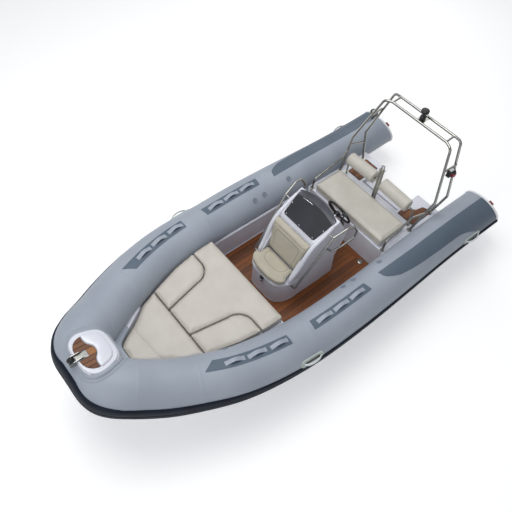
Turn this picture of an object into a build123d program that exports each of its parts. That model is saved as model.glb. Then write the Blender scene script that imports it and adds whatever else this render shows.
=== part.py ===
"""Rigid inflatable boat with a jockey console, sun-pad bow, bench and lighting arch.

Millimetres. +X runs to the bow, +Y to port, +Z up. The pieces are drawn from a
datum near the middle of the boat, on the flat of the keel. At the end they are all
moved so that the origin is under the middle of the overall box.
"""
from build123d import *
from math import atan2, cos, degrees, hypot, radians, sin
import os

os.makedirs("parts", exist_ok=True)

# ---------------------------------------------------------------- driving sizes
TUBE_R = 244.0            # collar radius aft
TUBE_R_BOW = 251.0        # collar radius at the bow
SKIN_GAP = 0.5            # between bonded rubber pieces
FLOOR_Z = 210.0           # top of the cockpit sole
SOLE_T = 8.0              # teak-look sole thickness
WALL_Y = 634.0            # cockpit side wall
DECK_Z = 562.0            # stern deck and bench coaming
BOW_DECK_Z = 650.0        # deck under the bow cushions
CUSHION_T = 85.0          # bow cushion thickness
LEDGE_Z = 745.0           # moulding round the bow cushions, aft part
LEDGE_BOW_Z = 790.0       # its height under the bow tube
STEP_Z = 1235.0           # top of the bow step, at its middle
STEP_X = 2180.0           # where that height is measured
STEP_RISE = 0.22          # climb of the bow step per length
BENCH_X = (-1490.0, -1056.0)
BENCH_Y = 588.0
WELL_Y = 285.0            # half width of the outboard well
TRANSOM_X = -1760.0       # aft face of the transom
TRANSOM_T = 60.0          # transom thickness
GUTTER = 60.0             # splash gutter in front of the transom
STERN_X = -2033.0         # aft edge of the two stern platforms
TRANSOM_TOP = 510.0
COCKPIT_FRONT = 430.0     # aft face of the bow locker
KEEL_PAD = 85.0           # half width of the flat keel
SKY = 1300.0              # height that clears every cut
RAIL_R = 12.5             # rails
LID_LIFT = 5.0            # a lid's seal above its rim
LID_T = 15.0              # lid thickness
ARCH_R = 15.0             # arch tube

# collar centreline, port stern round to the middle of the bow: x, y, z
COLLAR = [
    (-2470, 860, 522), (-1775, 851, 537), (-1080, 867, 559), (-80, 883, 594),
    (380, 866, 614), (820, 823, 673), (1217, 736, 717), (1455, 646, 749),
    (1690, 549, 812), (1903, 422, 872), (2062, 323, 949), (2163, 217, 962), (2152, 68, 945),
]
COLLAR += [(x, -y, z) for x, y, z in reversed(COLLAR)]
N = len(COLLAR)


def unit(v):
    return v.normalized()


def radius_at(i):
    """Collar radius at a station: grows a little towards the bow."""
    j = min(i, N - 1 - i)
    return TUBE_R + (TUBE_R_BOW - TUBE_R) * max(0, j - 3) / (N / 2 - 4)


def station(i):
    """Mitre plane of the collar at a station, x outboard, and the mitre stretch."""
    p = [Vector(*c) for c in COLLAR]
    before = unit(p[i] - p[i - 1]) if i > 0 else unit(p[1] - p[0])
    after = unit(p[i + 1] - p[i]) if i < N - 1 else unit(p[i] - p[i - 1])
    along = unit(before + after)
    stretch = 1 / max(0.5, along.dot(after))
    if i == 0 or i == N - 1:
        tip = END_TILT if i == 0 else -END_TILT
        out = unit(Vector(0, 0, 1).cross(along))
        along = along.rotate(Axis((0, 0, 0), tuple(out)), tip)
        stretch = 1.0
    out = unit(Vector(0, 0, 1).cross(along))
    return Plane(origin=COLLAR[i], x_dir=out, z_dir=along), stretch


END_TILT = 12.0           # the collar ends lean: their feet stand further aft


def collar_solid(extra=0.0):
    with BuildPart() as body:
        for i in range(N):
            plane, stretch = station(i)
            r = radius_at(i) + extra
            with BuildSketch(plane):
                Ellipse(r * stretch, r)
        loft(ruled=True)
    return body.part


def cut_at(x):
    """Square section of the collar's port side at x, between two stations."""
    for i in range(N // 2 - 1):
        a, b = Vector(*COLLAR[i]), Vector(*COLLAR[i + 1])
        if a.X < x < b.X:
            t = (x - a.X) / (b.X - a.X)
            along = unit(b - a)
            out = unit(Vector(0, 0, 1).cross(along))
            return Plane(origin=a + (b - a) * t, x_dir=out, z_dir=along), 1.0, radius_at(i) * (1 - t) + radius_at(i + 1) * t


def band(cuts, lows, highs, inner, outer):
    """Strip of rubber on the collar between two angles above the outboard side."""
    with BuildPart() as strip:
        for (plane, stretch, r), low, high in zip(cuts, lows, highs):
            a, b = radians(low), radians(high)
            m = (a + b) / 2
            r1, r2 = r + inner, r + outer
            pt = lambda r, t: (r * stretch * cos(t), r * sin(t))
            with BuildSketch(plane):
                with BuildLine():
                    ThreePointArc(pt(r1, a), pt(r1, m), pt(r1, b))
                    Line(pt(r1, b), pt(r2, b))
                    ThreePointArc(pt(r2, b), pt(r2, m), pt(r2, a))
                    Line(pt(r2, a), pt(r1, a))
                make_face()
        loft(ruled=True)
    return strip.part


def on_collar(x, angle, side=1, lift=0.0):
    """Frame on the collar's skin: z out of the skin, x along the collar forward."""
    for i in range(N // 2 - 1):
        a, b = Vector(*COLLAR[i]), Vector(*COLLAR[i + 1])
        if a.X <= x <= b.X:
            t = (x - a.X) / (b.X - a.X)
            c = a + (b - a) * t
            r = radius_at(i) + (radius_at(i + 1) - radius_at(i)) * t
            along = unit(b - a)
    out = unit(Vector(0, 0, 1).cross(along))
    up = unit(along.cross(out))
    n = out * cos(radians(angle)) + up * sin(radians(angle))
    o = c + n * (r + lift)
    if side < 0:
        o, n, along = (Vector(v.X, -v.Y, v.Z) for v in (o, n, along))
    return Plane(origin=o, x_dir=along, z_dir=n)


def prism_xz(points, y0, y1):
    """Side profile swept across the boat."""
    with BuildPart() as body:
        with BuildSketch(Plane(origin=(0, y1, 0), x_dir=(1, 0, 0), z_dir=(0, -1, 0))):
            with BuildLine():
                Polyline(*points, close=True)
            make_face()
        extrude(amount=y1 - y0)
    return body.part


def prism_xy(points, z0, z1):
    """Plan outline raised between two heights."""
    with BuildPart() as body:
        with BuildSketch(Plane.XY.offset(z0)):
            with BuildLine():
                Polyline(*points, close=True)
            make_face()
        extrude(amount=z1 - z0)
    return body.part


def block(x0, x1, y0, y1, z0, z1):
    with BuildPart() as body:
        with Locations(((x0 + x1) / 2, (y0 + y1) / 2, (z0 + z1) / 2)):
            Box(x1 - x0, y1 - y0, z1 - z0)
    return body.part


def pipe(points, r, bend):
    """Round tube through points, with its corners bent to a radius."""
    with BuildPart() as body:
        with BuildLine() as path:
            FilletPolyline(*points, radius=bend)
        with BuildSketch(Plane(origin=path.line @ 0, z_dir=path.line % 0)):
            Circle(r)
        sweep()
    return body.part


def rod(a, b, r):
    a, b = Vector(*a), Vector(*b)
    with BuildPart() as body:
        with BuildSketch(Plane(origin=a, z_dir=b - a)):
            Circle(r)
        extrude(amount=(b - a).length)
    return body.part


pieces = {}


def save(shape, label):
    pieces[label] = shape


mirror_y = lambda pts: [(x, -y) for x, y in reversed(pts)]

# ---------------------------------------------------------------- collar
collar = collar_solid()
collar_cutter = collar_solid(SKIN_GAP)
save(collar, "collar")

# rubbing strake: narrow along the sides, deep round the bow
HIGH = [4, 4, 5, 8, 8, 11, 16, 19, 21, 21, 20, 30, 30]
LOW = [-16, -16, -16, -17, -18, -20, -22, -23, -24, -26, -28, -30, -30]
ALL = [(*station(i), radius_at(i)) for i in range(N)]
strake = band(ALL, LOW + LOW[::-1], HIGH + HIGH[::-1], -2.0, 18.0)
strake -= collar_cutter
save(strake, "rubbing_strake")

# end caps: shallow dished cone behind a raised rim
for side, i, name in ((1, 0, "port"), (-1, N - 1, "stbd")):
    plane, _ = station(i)
    aft = -1 if i == 0 else 1
    with BuildPart() as cap:
        with BuildSketch(plane.offset(aft * 0.3)):
            Circle(TUBE_R + 6)
        extrude(amount=aft * 16)
        with BuildSketch(plane.offset(aft * 16.3)):
            Circle(TUBE_R - 14)
        with BuildSketch(plane.offset(aft * 96)):
            Circle(96)
        loft()
    save(cap.part, f"end_cap_{name}")

# ---------------------------------------------------------------- hull
# x, keel z, pad half width, inner chine (y, z), outer chine (y, z), top half width
HULL = [
    (TRANSOM_X, 0, KEEL_PAD, 600, 148, 668, 160, 700),
    (0, 0, KEEL_PAD, 605, 150, 672, 162, 704),
    (700, 0, 80, 560, 215, 630, 232, 692),
    (1250, 45, 58, 430, 340, 500, 362, 560),
    (1700, 185, 38, 270, 480, 330, 505, 400),
    (2030, 415, 24, 130, 630, 170, 650, 235),
    (2175, 560, 14, 60, 690, 85, 705, 110),
]
with BuildPart() as shell:
    for x, zk, pad, yi, zi, yo, zo, yt in HULL:
        with BuildSketch(Plane(origin=(x, 0, 0), x_dir=(0, 1, 0), z_dir=(1, 0, 0))):
            with BuildLine():
                Polyline((-pad, zk), (pad, zk), (yi, zi), (yo, zo), (yt, 860),
                         (-yt, 860), (-yo, zo), (-yi, zi), close=True)
            make_face()
    loft(ruled=True)

# cushion well outline at the bow, port half
PAD_EDGE = [(COCKPIT_FRONT, 640), (700, 640), (1300, 500), (1440, 400), (1557, 302), (1681, 226), (1759, 181),
            (1833, 133), (1862, 92)]

hull = shell.part
platforms = prism_xz([(TRANSOM_X, 215), (STERN_X, 400), (STERN_X, DECK_Z), (TRANSOM_X, DECK_Z)], -690, 690)
hull = hull + platforms
hull -= block(STERN_X - 50, BENCH_X[1], -900, 900, DECK_Z, SKY)
hull -= prism_xz([(BENCH_X[1], 470), (COCKPIT_FRONT, 560), (COCKPIT_FRONT, SKY), (BENCH_X[1], SKY)], -900, 900)
LEDGE_LINE = [(COCKPIT_FRONT, LEDGE_Z), (1250, LEDGE_Z), (1900, LEDGE_BOW_Z), (2300, LEDGE_BOW_Z + 40)]
hull -= prism_xz(LEDGE_LINE + [(2300, SKY), (COCKPIT_FRONT, SKY)], -900, 900)
hull -= prism_xy(PAD_EDGE + mirror_y(PAD_EDGE), BOW_DECK_Z, SKY)
hull -= block(BENCH_X[1], COCKPIT_FRONT, -WALL_Y, WALL_Y, FLOOR_Z - SOLE_T, SKY)
hull -= block(BENCH_X[0], BENCH_X[1], -BENCH_Y, BENCH_Y, FLOOR_Z - SOLE_T, SKY)
hull -= block(STERN_X - 50, TRANSOM_X, -WELL_Y, WELL_Y, 0, SKY)
hull -= block(TRANSOM_X + TRANSOM_T, TRANSOM_X + TRANSOM_T + GUTTER, -WELL_Y, WELL_Y, 430, SKY)
hull -= block(TRANSOM_X - 1, TRANSOM_X + TRANSOM_T, -WELL_Y, WELL_Y, TRANSOM_TOP, SKY)
hull -= collar_cutter
# outboard bracket bolts: standard transom pattern
OUTBOARD = [(y, z) for y in (-163.5, 163.5) for z in (470.0,)] + [(y, z) for y in (-62.7, 62.7) for z in (267.0,)]
with BuildPart() as holes:
    for y, z in OUTBOARD:
        with BuildSketch(Plane(origin=(TRANSOM_X - 5, y, z), z_dir=(1, 0, 0))):
            Circle(6.5)
        extrude(amount=TRANSOM_T + 10)
hull -= holes.part
hull = hull.solids().sort_by(SortBy.VOLUME)[-1]
save(hull, "hull")

# cockpit sole
with BuildPart() as sole:
    add(block(BENCH_X[1] + 0.5, COCKPIT_FRONT - 0.5, -WALL_Y + 0.5, WALL_Y - 0.5, FLOOR_Z - SOLE_T, FLOOR_Z))
save(sole.part, "sole")

# ---------------------------------------------------------------- bow cushions
TOP = BOW_DECK_Z + CUSHION_T
JOIN_X = 1268.0
CREASE_X, TIP_RISE = 1636.0, 34.0
FRONT = [(JOIN_X + 3, 436), (1440, 378), (1557, 288), (1681, 212), (1759, 167), (1828, 120), (1850, 84), (1853, 45)]
front_cushion = prism_xy(FRONT + mirror_y(FRONT), BOW_DECK_Z, TOP + TIP_RISE)
front_cushion -= prism_xz([(JOIN_X, TOP), (CREASE_X, TOP), (1853, TOP + TIP_RISE), (1853, SKY), (JOIN_X, SKY)], -500, 500)
save(front_cushion, "cushion_front")

with BuildPart() as centre_cushion:
    with BuildSketch(Plane.XY.offset(BOW_DECK_Z)):
        with BuildLine():
            for s in (1, -1):
                Line((JOIN_X, 0), (JOIN_X, s * 172))
                Line((JOIN_X, s * 172), (860, s * 250))
                ThreePointArc((860, s * 250), (738, s * 298), (684, s * 440))
                Line((684, s * 440), (684, s * 578))
                Line((684, s * 578), (426, s * 590))
                Line((426, s * 590), (426, 0))
        make_face()
    extrude(amount=CUSHION_T)
save(centre_cushion.part, "cushion_centre")

for s, name in ((1, "port"), (-1, "stbd")):
    with BuildPart() as side_cushion:
        with BuildSketch(Plane.XY.offset(BOW_DECK_Z)):
            with BuildLine():
                Line((JOIN_X, s * 176), (JOIN_X, s * 440))
                Line((JOIN_X, s * 440), (935, s * 538))
                Line((935, s * 538), (689, s * 576))
                Line((689, s * 576), (689, s * 441))
                ThreePointArc((689, s * 441), (742, s * 302), (861, s * 254))
                Line((861, s * 254), (JOIN_X, s * 176))
            make_face()
        extrude(amount=CUSHION_T)
    save(side_cushion.part, f"cushion_{name}")

# ---------------------------------------------------------------- bow step


def step_top(x):
    """Height of the step's sloping top."""
    return STEP_Z + STEP_RISE * (x - STEP_X)


def on_step(outline, low, high, foot=0.0):
    """Plan outline standing on the sloping top, from low to high above it, or from a flat foot."""
    ends = (STEP_X - 300, STEP_X + 300)
    body = prism_xy(outline, foot or 1100, SKY + 60)
    if not foot:
        body -= prism_xz([(x, step_top(x) + low) for x in ends] + [(ends[1], 1000), (ends[0], 1000)], -300, 300)
    body -= prism_xz([(x, step_top(x) + high) for x in ends] + [(ends[1], 1500), (ends[0], 1500)], -300, 300)
    return body


STEP_HALF = [(2272, 70), (2266, 120), (2246, 168), (2212, 202), (2165, 217), (2110, 216), (2050, 197), (2000, 178),
             (1966, 148), (1950, 100), (1946, 50)]
step = on_step(STEP_HALF + mirror_y(STEP_HALF), 0, 0, 1040)
step -= collar_cutter
step = step.solids().sort_by(SortBy.VOLUME)[-1]
RIDGE = [(2088, 0), (2091, 28), (2125, 77), (2137, 122), (2137, 170)]
pad_half = [(1966, 60), (1984, 128), (2022, 160), (2076, 182), (2131, 188)] + RIDGE[::-1]
step += on_step(pad_half + mirror_y(pad_half[:-1]), -1, 18)
save(step, "bow_step")

inlay_half = [(x + 3, y) for x, y in RIDGE[1:]] + [(2172, 170), (2222, 142), (2250, 84), (2257, 37), (2170, 37)]
inlay = on_step([(2091, 0)] + inlay_half + [(2170, -37)] + mirror_y(inlay_half)[1:], 0, 6)
save(inlay, "bow_step_inlay")

ROLLER = (2310.0, 1243.0)
ROLLER_R = 32.0
PLATE = [(2172, 33), (STEP_HALF[0][0], 33), (STEP_HALF[0][0], -33), (2172, -33)]
with BuildPart() as bracket:
    add(on_step(PLATE, 0, 4))
    for y in (29, -33):
        with BuildSketch(Plane(origin=(0, y + 4, 0), x_dir=(1, 0, 0), z_dir=(0, -1, 0))):
            with BuildLine():
                Polyline((2190, step_top(2190) + 2), (2272, step_top(2272) + 2), (ROLLER[0] - 14, ROLLER[1] - 34),
                         (ROLLER[0] + 20, ROLLER[1] - 27), (ROLLER[0] + 36, ROLLER[1]), (ROLLER[0] + 22, ROLLER[1] + 27),
                         (ROLLER[0] - 10, ROLLER[1] + 36), (2225, step_top(2225) + 30), close=True)
            make_face()
        extrude(amount=4)
    with BuildSketch(Plane(origin=(ROLLER[0], 36, ROLLER[1]), x_dir=(1, 0, 0), z_dir=(0, -1, 0))):
        Circle(6)
    extrude(amount=72)
save(bracket.part, "roller_bracket")

with BuildPart() as roller:
    with BuildSketch(Plane(origin=(ROLLER[0], 23.5, ROLLER[1]), x_dir=(1, 0, 0), z_dir=(0, -1, 0))):
        Circle(ROLLER_R)
        Circle(6.06, mode=Mode.SUBTRACT)
    extrude(amount=47)
save(roller.part, "bow_roller")

# ---------------------------------------------------------------- console
CON_Y = 292.0
SEAT_Y = 218.0
SEAT_Z = 560.0            # deck under the jockey seat
SEAT_TOP = 640.0          # top of the jockey seat cushion
SEAT_HINGE_X = -60.0      # rear edge of the lid and its cushion
REST_GAP = 6.0            # between the seat cushion and the back rest
SIDE = [(192, FLOOR_Z), (186, SEAT_Z), (40, SEAT_Z), (18, 600), (-246, 1046), (-505, 1196), (-545, 1205), (-722, 885),
        (-700, 780), (-612, 560), (-632, FLOOR_Z)]
PLAN = [(192, 105), (176, 175), (130, 225), (60, 262), (-60, 282), (-300, CON_Y), (-740, CON_Y)]
body = prism_xz(SIDE, -300, 300)
body = body & prism_xy(PLAN + mirror_y(PLAN), FLOOR_Z, SKY)
# seat well between the coamings
REST_FOOT = (-112, SEAT_Z)   # foot and top of the wall behind the back rest
REST_TOP = (-206, 1006)
body -= prism_xz([(260, SEAT_Z), REST_FOOT, REST_TOP, (REST_TOP[0], SKY), (260, SKY)], -SEAT_Y, SEAT_Y)
# hollow inside: locker under the seat and helm pod
body -= prism_xz([(150, FLOOR_Z - 1), (150, SEAT_Z - 20), (-134, SEAT_Z - 20), (-232, 1000), (-270, 1010), (-512, 1160),
                  (-535, 1165), (-690, 880), (-668, 780), (-582, 560), (-600, FLOOR_Z - 1)], -SEAT_Y + 22, SEAT_Y - 22)
# locker mouth under the lid
body -= block(-40, 140, -170, 170, SEAT_Z - 30, SEAT_Z + 1)
save(body, "console")

# jockey seat lid with its cushion, hinged along the cushion's rear top edge
LID_PLAN = [(178, 100), (160, 165), (118, 206), (SEAT_HINGE_X, 208)]
lid = prism_xy(LID_PLAN + mirror_y(LID_PLAN), SEAT_Z + LID_LIFT, SEAT_Z + LID_LIFT + LID_T)
save(lid, "console_lid")
CUSH_PLAN = [(176, 98), (157, 163), (116, 204), (SEAT_HINGE_X, 206)]
seat = prism_xy(CUSH_PLAN + mirror_y(CUSH_PLAN), SEAT_Z + LID_LIFT + LID_T, SEAT_TOP)
save(seat, "console_seat")
REST_Z = SEAT_TOP + REST_GAP
rest_x = REST_FOOT[0] + (REST_TOP[0] - REST_FOOT[0]) * (REST_Z - SEAT_Z) / (REST_TOP[1] - SEAT_Z)
back = prism_xz([(rest_x, REST_Z), REST_TOP, (REST_TOP[0], 1042), (-182, 1050), (-152, 1030), (-142, 985), (-68, 700),
                 (-68, REST_Z)], -SEAT_Y + 0.5, SEAT_Y - 0.5)
save(back, "console_back_rest")

# smoked screen on the slope above the dash
with BuildPart() as screen:
    slope = Plane(origin=(-246, 0, 1047), x_dir=(0, 1, 0), z_dir=Vector(150, 0, 259))
    with BuildSketch(slope):
        with BuildLine():
            a = Line((-232, 8), (232, 8))
            b = Line((232, 8), (262, 290))
            c = ThreePointArc((262, 290), (0, 342), (-262, 290))
            d = Line((-262, 290), (-232, 8))
        make_face()
        fillet(vertices(), radius=22)
    extrude(amount=8)
save(screen.part, "windscreen")

# helm: boss, wheel, throttle
WHEEL_C = Vector(-910, 0, 798)
WHEEL_N = Vector(-cos(radians(22)), 0, sin(radians(22)))
with BuildPart() as helm:
    with BuildSketch(Plane(origin=WHEEL_C - WHEEL_N * 188, z_dir=WHEEL_N)):
        Circle(48)
    extrude(amount=70, taper=10)
    with BuildSketch(Plane(origin=WHEEL_C - WHEEL_N * 120, z_dir=WHEEL_N)):
        Circle(11)
    extrude(amount=100)
helm_boss = helm.part - prism_xz(SIDE, -200, 200)
helm_boss = helm_boss.solids().sort_by(SortBy.VOLUME)[-1]
save(helm_boss, "helm_boss")

with BuildPart() as wheel:
    face = Plane(origin=WHEEL_C, x_dir=(0, 1, 0), z_dir=WHEEL_N)
    with BuildSketch(Plane(origin=WHEEL_C + face.x_dir * 156, x_dir=face.x_dir, z_dir=face.y_dir)):
        Circle(14)
    revolve(axis=Axis(WHEEL_C, WHEEL_N), revolution_arc=360)
    with BuildSketch(face.offset(-52)):
        Circle(38)
        Circle(11.06, mode=Mode.SUBTRACT)
    extrude(amount=36)
    with BuildSketch(face.offset(-16)):
        Circle(38)
    extrude(amount=8)
    for k in range(3):
        arm = 90 + 120 * k
        tip = face.x_dir * cos(radians(arm)) + face.y_dir * sin(radians(arm))
        with BuildSketch(Plane(origin=WHEEL_C + tip * 30 - WHEEL_N * 22, z_dir=(tip * 118 + WHEEL_N * 22))):
            Rectangle(26, 7)
        extrude(amount=120)
save(wheel.part, "steering_wheel")

with BuildPart() as throttle:
    with Locations((-655, 225, 1000)):
        Box(60, 46, 70)
    add(rod((-660, 215, 1030), (-700, 215, 1120), 8))
    add(rod((-700, 190, 1120), (-700, 240, 1120), 14))
throttle_part = throttle.part - prism_xz(SIDE, -300, 300)
throttle_part = throttle_part.solids().sort_by(SortBy.VOLUME)[-1]
save(throttle_part, "throttle")

for s, name in ((1, "port"), (-1, "stbd")):
    pts = [(17, s * 282, 505), (17, s * 332, 520), (-60, s * 336, 640), (-391, s * 362, 1128), (-560, s * 392, 1185),
           (-650, s * 403, 1155), (-722, s * 403, 1030), (-705, s * 403, 935), (-560, s * 395, 905), (-450, s * 350, 830),
           (-440, s * 290, 815)]
    rail = pipe(pts, RAIL_R, 24)
    rail += rod((-391, s * 350, 1126), (-391, s * 285, 1118), 7)
    rail -= prism_xy(PLAN + mirror_y(PLAN), FLOOR_Z, SKY)
    save(rail.solids().sort_by(SortBy.VOLUME)[-1], f"console_rail_{name}")

# ---------------------------------------------------------------- bench
bench = block(BENCH_X[0] + 1, BENCH_X[1] - 0.5, -BENCH_Y + 1, BENCH_Y - 1, FLOOR_Z - SOLE_T, DECK_Z)
bench -= block(BENCH_X[0] + 13, BENCH_X[1] - 14, -BENCH_Y + 14, BENCH_Y - 14, FLOOR_Z + 6, DECK_Z - 14)
bench -= block(BENCH_X[0] + 60, BENCH_X[1] - 50, -480, 480, DECK_Z - 40, DECK_Z + 1)
save(bench, "bench")
bench_lid = block(BENCH_X[0] + 12, BENCH_X[1] - 22, -524, 524, DECK_Z + LID_LIFT, DECK_Z + LID_LIFT + LID_T)
save(bench_lid, "bench_lid")
bench_cushion = block(BENCH_X[0] + 8, BENCH_X[1] - 12, -532, 532, DECK_Z + LID_LIFT + LID_T, DECK_Z + 116)
save(bench_cushion, "bench_cushion")

for s, name in ((1, "port"), (-1, "stbd")):
    pts = [(-1074, s * 578, DECK_Z), (-1092, s * 577, 712), (-1300, s * 572, 765), (-1500, s * 566, 812), (-1655, s * 615, 824)]
    rail = pipe(pts, RAIL_R, 30) - rod((-1722, s * 640, 978), (-1541, s * 573, DECK_Z), ARCH_R + 0.3)
    rail = rail.solids().sort_by(SortBy.VOLUME)[-1] - block(-1200, -1000, -700, 700, 500, DECK_Z)
    rail += rod((-1074, s * 578, DECK_Z), (-1074, s * 578, DECK_Z + 6), 26)
    save(rail, f"bench_rail_{name}")

# backrest frame, tow post and bolsters
POST_X = -1520.0
AXIS_Z = 912.0
with BuildPart() as frame:
    for s in (1, -1):
        add(rod((POST_X, s * 17, DECK_Z), (POST_X, s * 17, 1080), 14))
        add(pipe([(POST_X, s * 20, AXIS_Z), (POST_X, s * 500, AXIS_Z - 18), (POST_X - 60, s * 506, 800),
                  (POST_X - 70, s * 508, DECK_Z)], 11, 34))
        with Locations((POST_X - 70, s * 508, DECK_Z + 3)):
            Cylinder(26, 6)
    with Locations((POST_X, 0, DECK_Z + 4)):
        Box(60, 92, 8)
    with Locations((POST_X, 0, 1084)):
        Box(34, 68, 16)
    add(pipe([(POST_X, -17, 1080), (POST_X, -17, 1150), (POST_X, 17, 1150), (POST_X, 17, 1080)], 6, 14))
frame_part = frame.part - block(-1700, -1400, -600, 600, 500, DECK_Z)
save(frame_part, "backrest_frame")
for s, name in ((1, "port"), (-1, "stbd")):
    a, b = Vector(POST_X, s * 60, AXIS_Z - 1.5), Vector(POST_X, s * 460, AXIS_Z - 16.5)
    with BuildPart() as bolster:
        with BuildSketch(Plane(origin=a, z_dir=b - a)):
            Circle(76)
            Circle(12, mode=Mode.SUBTRACT)
        extrude(amount=(b - a).length)
    save(bolster.part, f"bolster_{name}")

# stern platform pads
for s, name in ((1, "port"), (-1, "stbd")):
    pad = block(-1950, -1620, min(s * 312, s * 512), max(s * 312, s * 512), DECK_Z, DECK_Z + 7)
    save(pad, f"stern_pad_{name}")

# ---------------------------------------------------------------- arch
with BuildPart() as arch:
    for top_x, top_z, bend, knee, foot in (
        (-1917, 1585, (-1887, 470, 1570), (-1722, 640, 978), (-1541, 573, DECK_Z)),
        (-2051, 1592, (-2060, 470, 1576), (-1960, 640, 926), (-1922, 551, DECK_Z)),
    ):
        half = [foot, knee, bend, (top_x, 385, top_z)]
        other = [(x, -y, z) for x, y, z in reversed(half)]
        add(pipe(half + other, ARCH_R, 60))
        for s in (1, -1):
            with Locations((foot[0], s * foot[1], DECK_Z + 3)):
                Cylinder(30, 6)
    for s in (1, -1):
        add(rod((-1917, s * 378, 1585), (-2051, s * 378, 1592), 12))
        add(rod((-1824, s * 540, 1330), (-2012, s * 550, 1330), 12))
        add(rod((-1683, s * 626, 890), (-1947, s * 611, 790), 12))
    with Locations((-1984, 0, 1589)):
        Box(150, 90, 8)
arch_part = arch.part - block(-2100, -1400, -700, 700, 500, DECK_Z)
save(arch_part, "arch")

with BuildPart() as masthead:
    with Locations((-1970, 0, 1593)):
        Cylinder(28, 60, align=(Align.CENTER, Align.CENTER, Align.MIN))
    with Locations((-1970, 0, 1653)):
        Cylinder(18, 30, align=(Align.CENTER, Align.CENTER, Align.MIN))
    with Locations((-1970, 0, 1683)):
        Cylinder(42, 34, align=(Align.CENTER, Align.CENTER, Align.MIN))
save(masthead.part, "all_round_light")

for s, name in ((1, "port"), (-1, "stbd")):
    with BuildPart() as lamp:
        with Locations((-1915, s * 566, 1286)):
            Box(78, 40, 64)
            with Locations((-12, s * 20, 0)):
                Cylinder(27, 56)
    lamp_part = lamp.part - arch_part
    save(lamp_part.solids().sort_by(SortBy.VOLUME)[-1], f"nav_light_{name}")

# ---------------------------------------------------------------- collar fittings
HANDLES = {"fwd": (485, 17), "aft": (-2040, 2)}
for key, (x, angle) in HANDLES.items():
    for s, name in ((1, "port"), (-1, "stbd")):
        seat_plane = on_collar(x, angle, s)
        with BuildPart() as grab:
            with BuildSketch(seat_plane.offset(-6)):
                SlotOverall(280, 84)
            extrude(amount=14)
            with BuildSketch(Plane(origin=seat_plane.origin, x_dir=seat_plane.x_dir, z_dir=-seat_plane.y_dir).offset(-14)):
                with BuildLine():
                    Polyline((-112, 8), (-84, 44), (84, 44), (112, 8), (88, 8), (72, 28), (-72, 28), (-88, 8), close=True)
                make_face()
            extrude(amount=28)
        grab_part = grab.part - collar_cutter - strake
        save(grab_part.solids().sort_by(SortBy.VOLUME)[-1], f"grab_{key}_{name}")

# rubber patches with three webbing loops each: ends, stations between, loop middles
# and the angle of their middle line at both ends
PATCHES = {"fwd": (630, 1430, (5, 6), (751, 976, 1199), (89, 96.5)), "aft": (-441, 335, (3,), (-286, -61, 164), (90, 90))}
PATCH_HALF = 12.5         # degrees either side of the middle line
loop_cutter = collar_solid(SKIN_GAP + 1)
for key, (x0, x1, between, middles, (a0, a1)) in PATCHES.items():
    turn_at = lambda x: a0 + (a1 - a0) * (x - x0) / (x1 - x0)
    cuts = [cut_at(x0)] + [(*station(i), radius_at(i)) for i in between] + [cut_at(x1)]
    turns = [turn_at(x) for x in [x0] + [COLLAR[i][0] for i in between] + [x1]]
    strip = band(cuts, [a - PATCH_HALF for a in turns], [a + PATCH_HALF for a in turns], SKIN_GAP, SKIN_GAP + 3)
    for x in middles:
        top = on_collar(x, turn_at(x), 1, SKIN_GAP + 2.6)
        with BuildPart() as loop:
            with BuildSketch(Plane(origin=top.origin, x_dir=top.x_dir, z_dir=-top.y_dir).offset(-24)):
                with BuildLine():
                    Polyline((-100, -2), (-62, -2), (-56, 4), (-30, 24), (30, 24), (56, 4), (62, -2), (100, -2),
                             (98, 6), (66, 10), (32, 31), (-32, 31), (-66, 10), (-98, 6), close=True)
                make_face()
            extrude(amount=48)
        strip += loop.part - loop_cutter
    strip = strip.solids().sort_by(SortBy.VOLUME)[-1]
    save(strip, f"loops_{key}_port")
    save(mirror(strip, about=Plane.XZ), f"loops_{key}_stbd")

# towing eyes: one on the stem, one on each stern platform
for name, at, across, out in (
    ("bow", (2103, 0, 487), (1, 0, 1), (1, 0, -1)),
    ("stern_port", (STERN_X, 430, 486), (0, 1, 0), (-1, 0, 0)),
    ("stern_stbd", (STERN_X, -430, 486), (0, 1, 0), (-1, 0, 0)),
):
    at, across, out = Vector(*at), unit(Vector(*across)), unit(Vector(*out))
    a, b = at - across * 28, at + across * 28
    with BuildPart() as eye:
        add(pipe([a, a + out * 52, b + out * 52, b], 6, 22))
        with BuildSketch(Plane(origin=at, x_dir=across, z_dir=out)):
            SlotOverall(84, 26)
        extrude(amount=4)
    save(eye.part, f"eye_{name}")

# ---------------------------------------------------------------- write the pieces
middle = Compound(list(pieces.values())).bounding_box().center().X
for label, shape in pieces.items():
    placed = shape.moved(Location((-middle, 0, 0)))
    placed.label = label
    export_step(placed, f"parts/{label}.step")
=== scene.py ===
# %% [markdown]
# # Dressing a rigid inflatable boat
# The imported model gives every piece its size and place. This lesson covers it with the
# surfaces of the real boat: coated fabric, gelcoat mouldings, sewn vinyl, synthetic teak
# and polished tube. Each piece is worked out with numpy on a grid, so its shape is a formula
# that can be read, and it takes the place of the plain solid with the same name.

# %% Load the frame
import bpy
import bmesh
import numpy as np
from mathutils import Matrix, Vector
from mathutils.bvhtree import BVHTree


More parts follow.
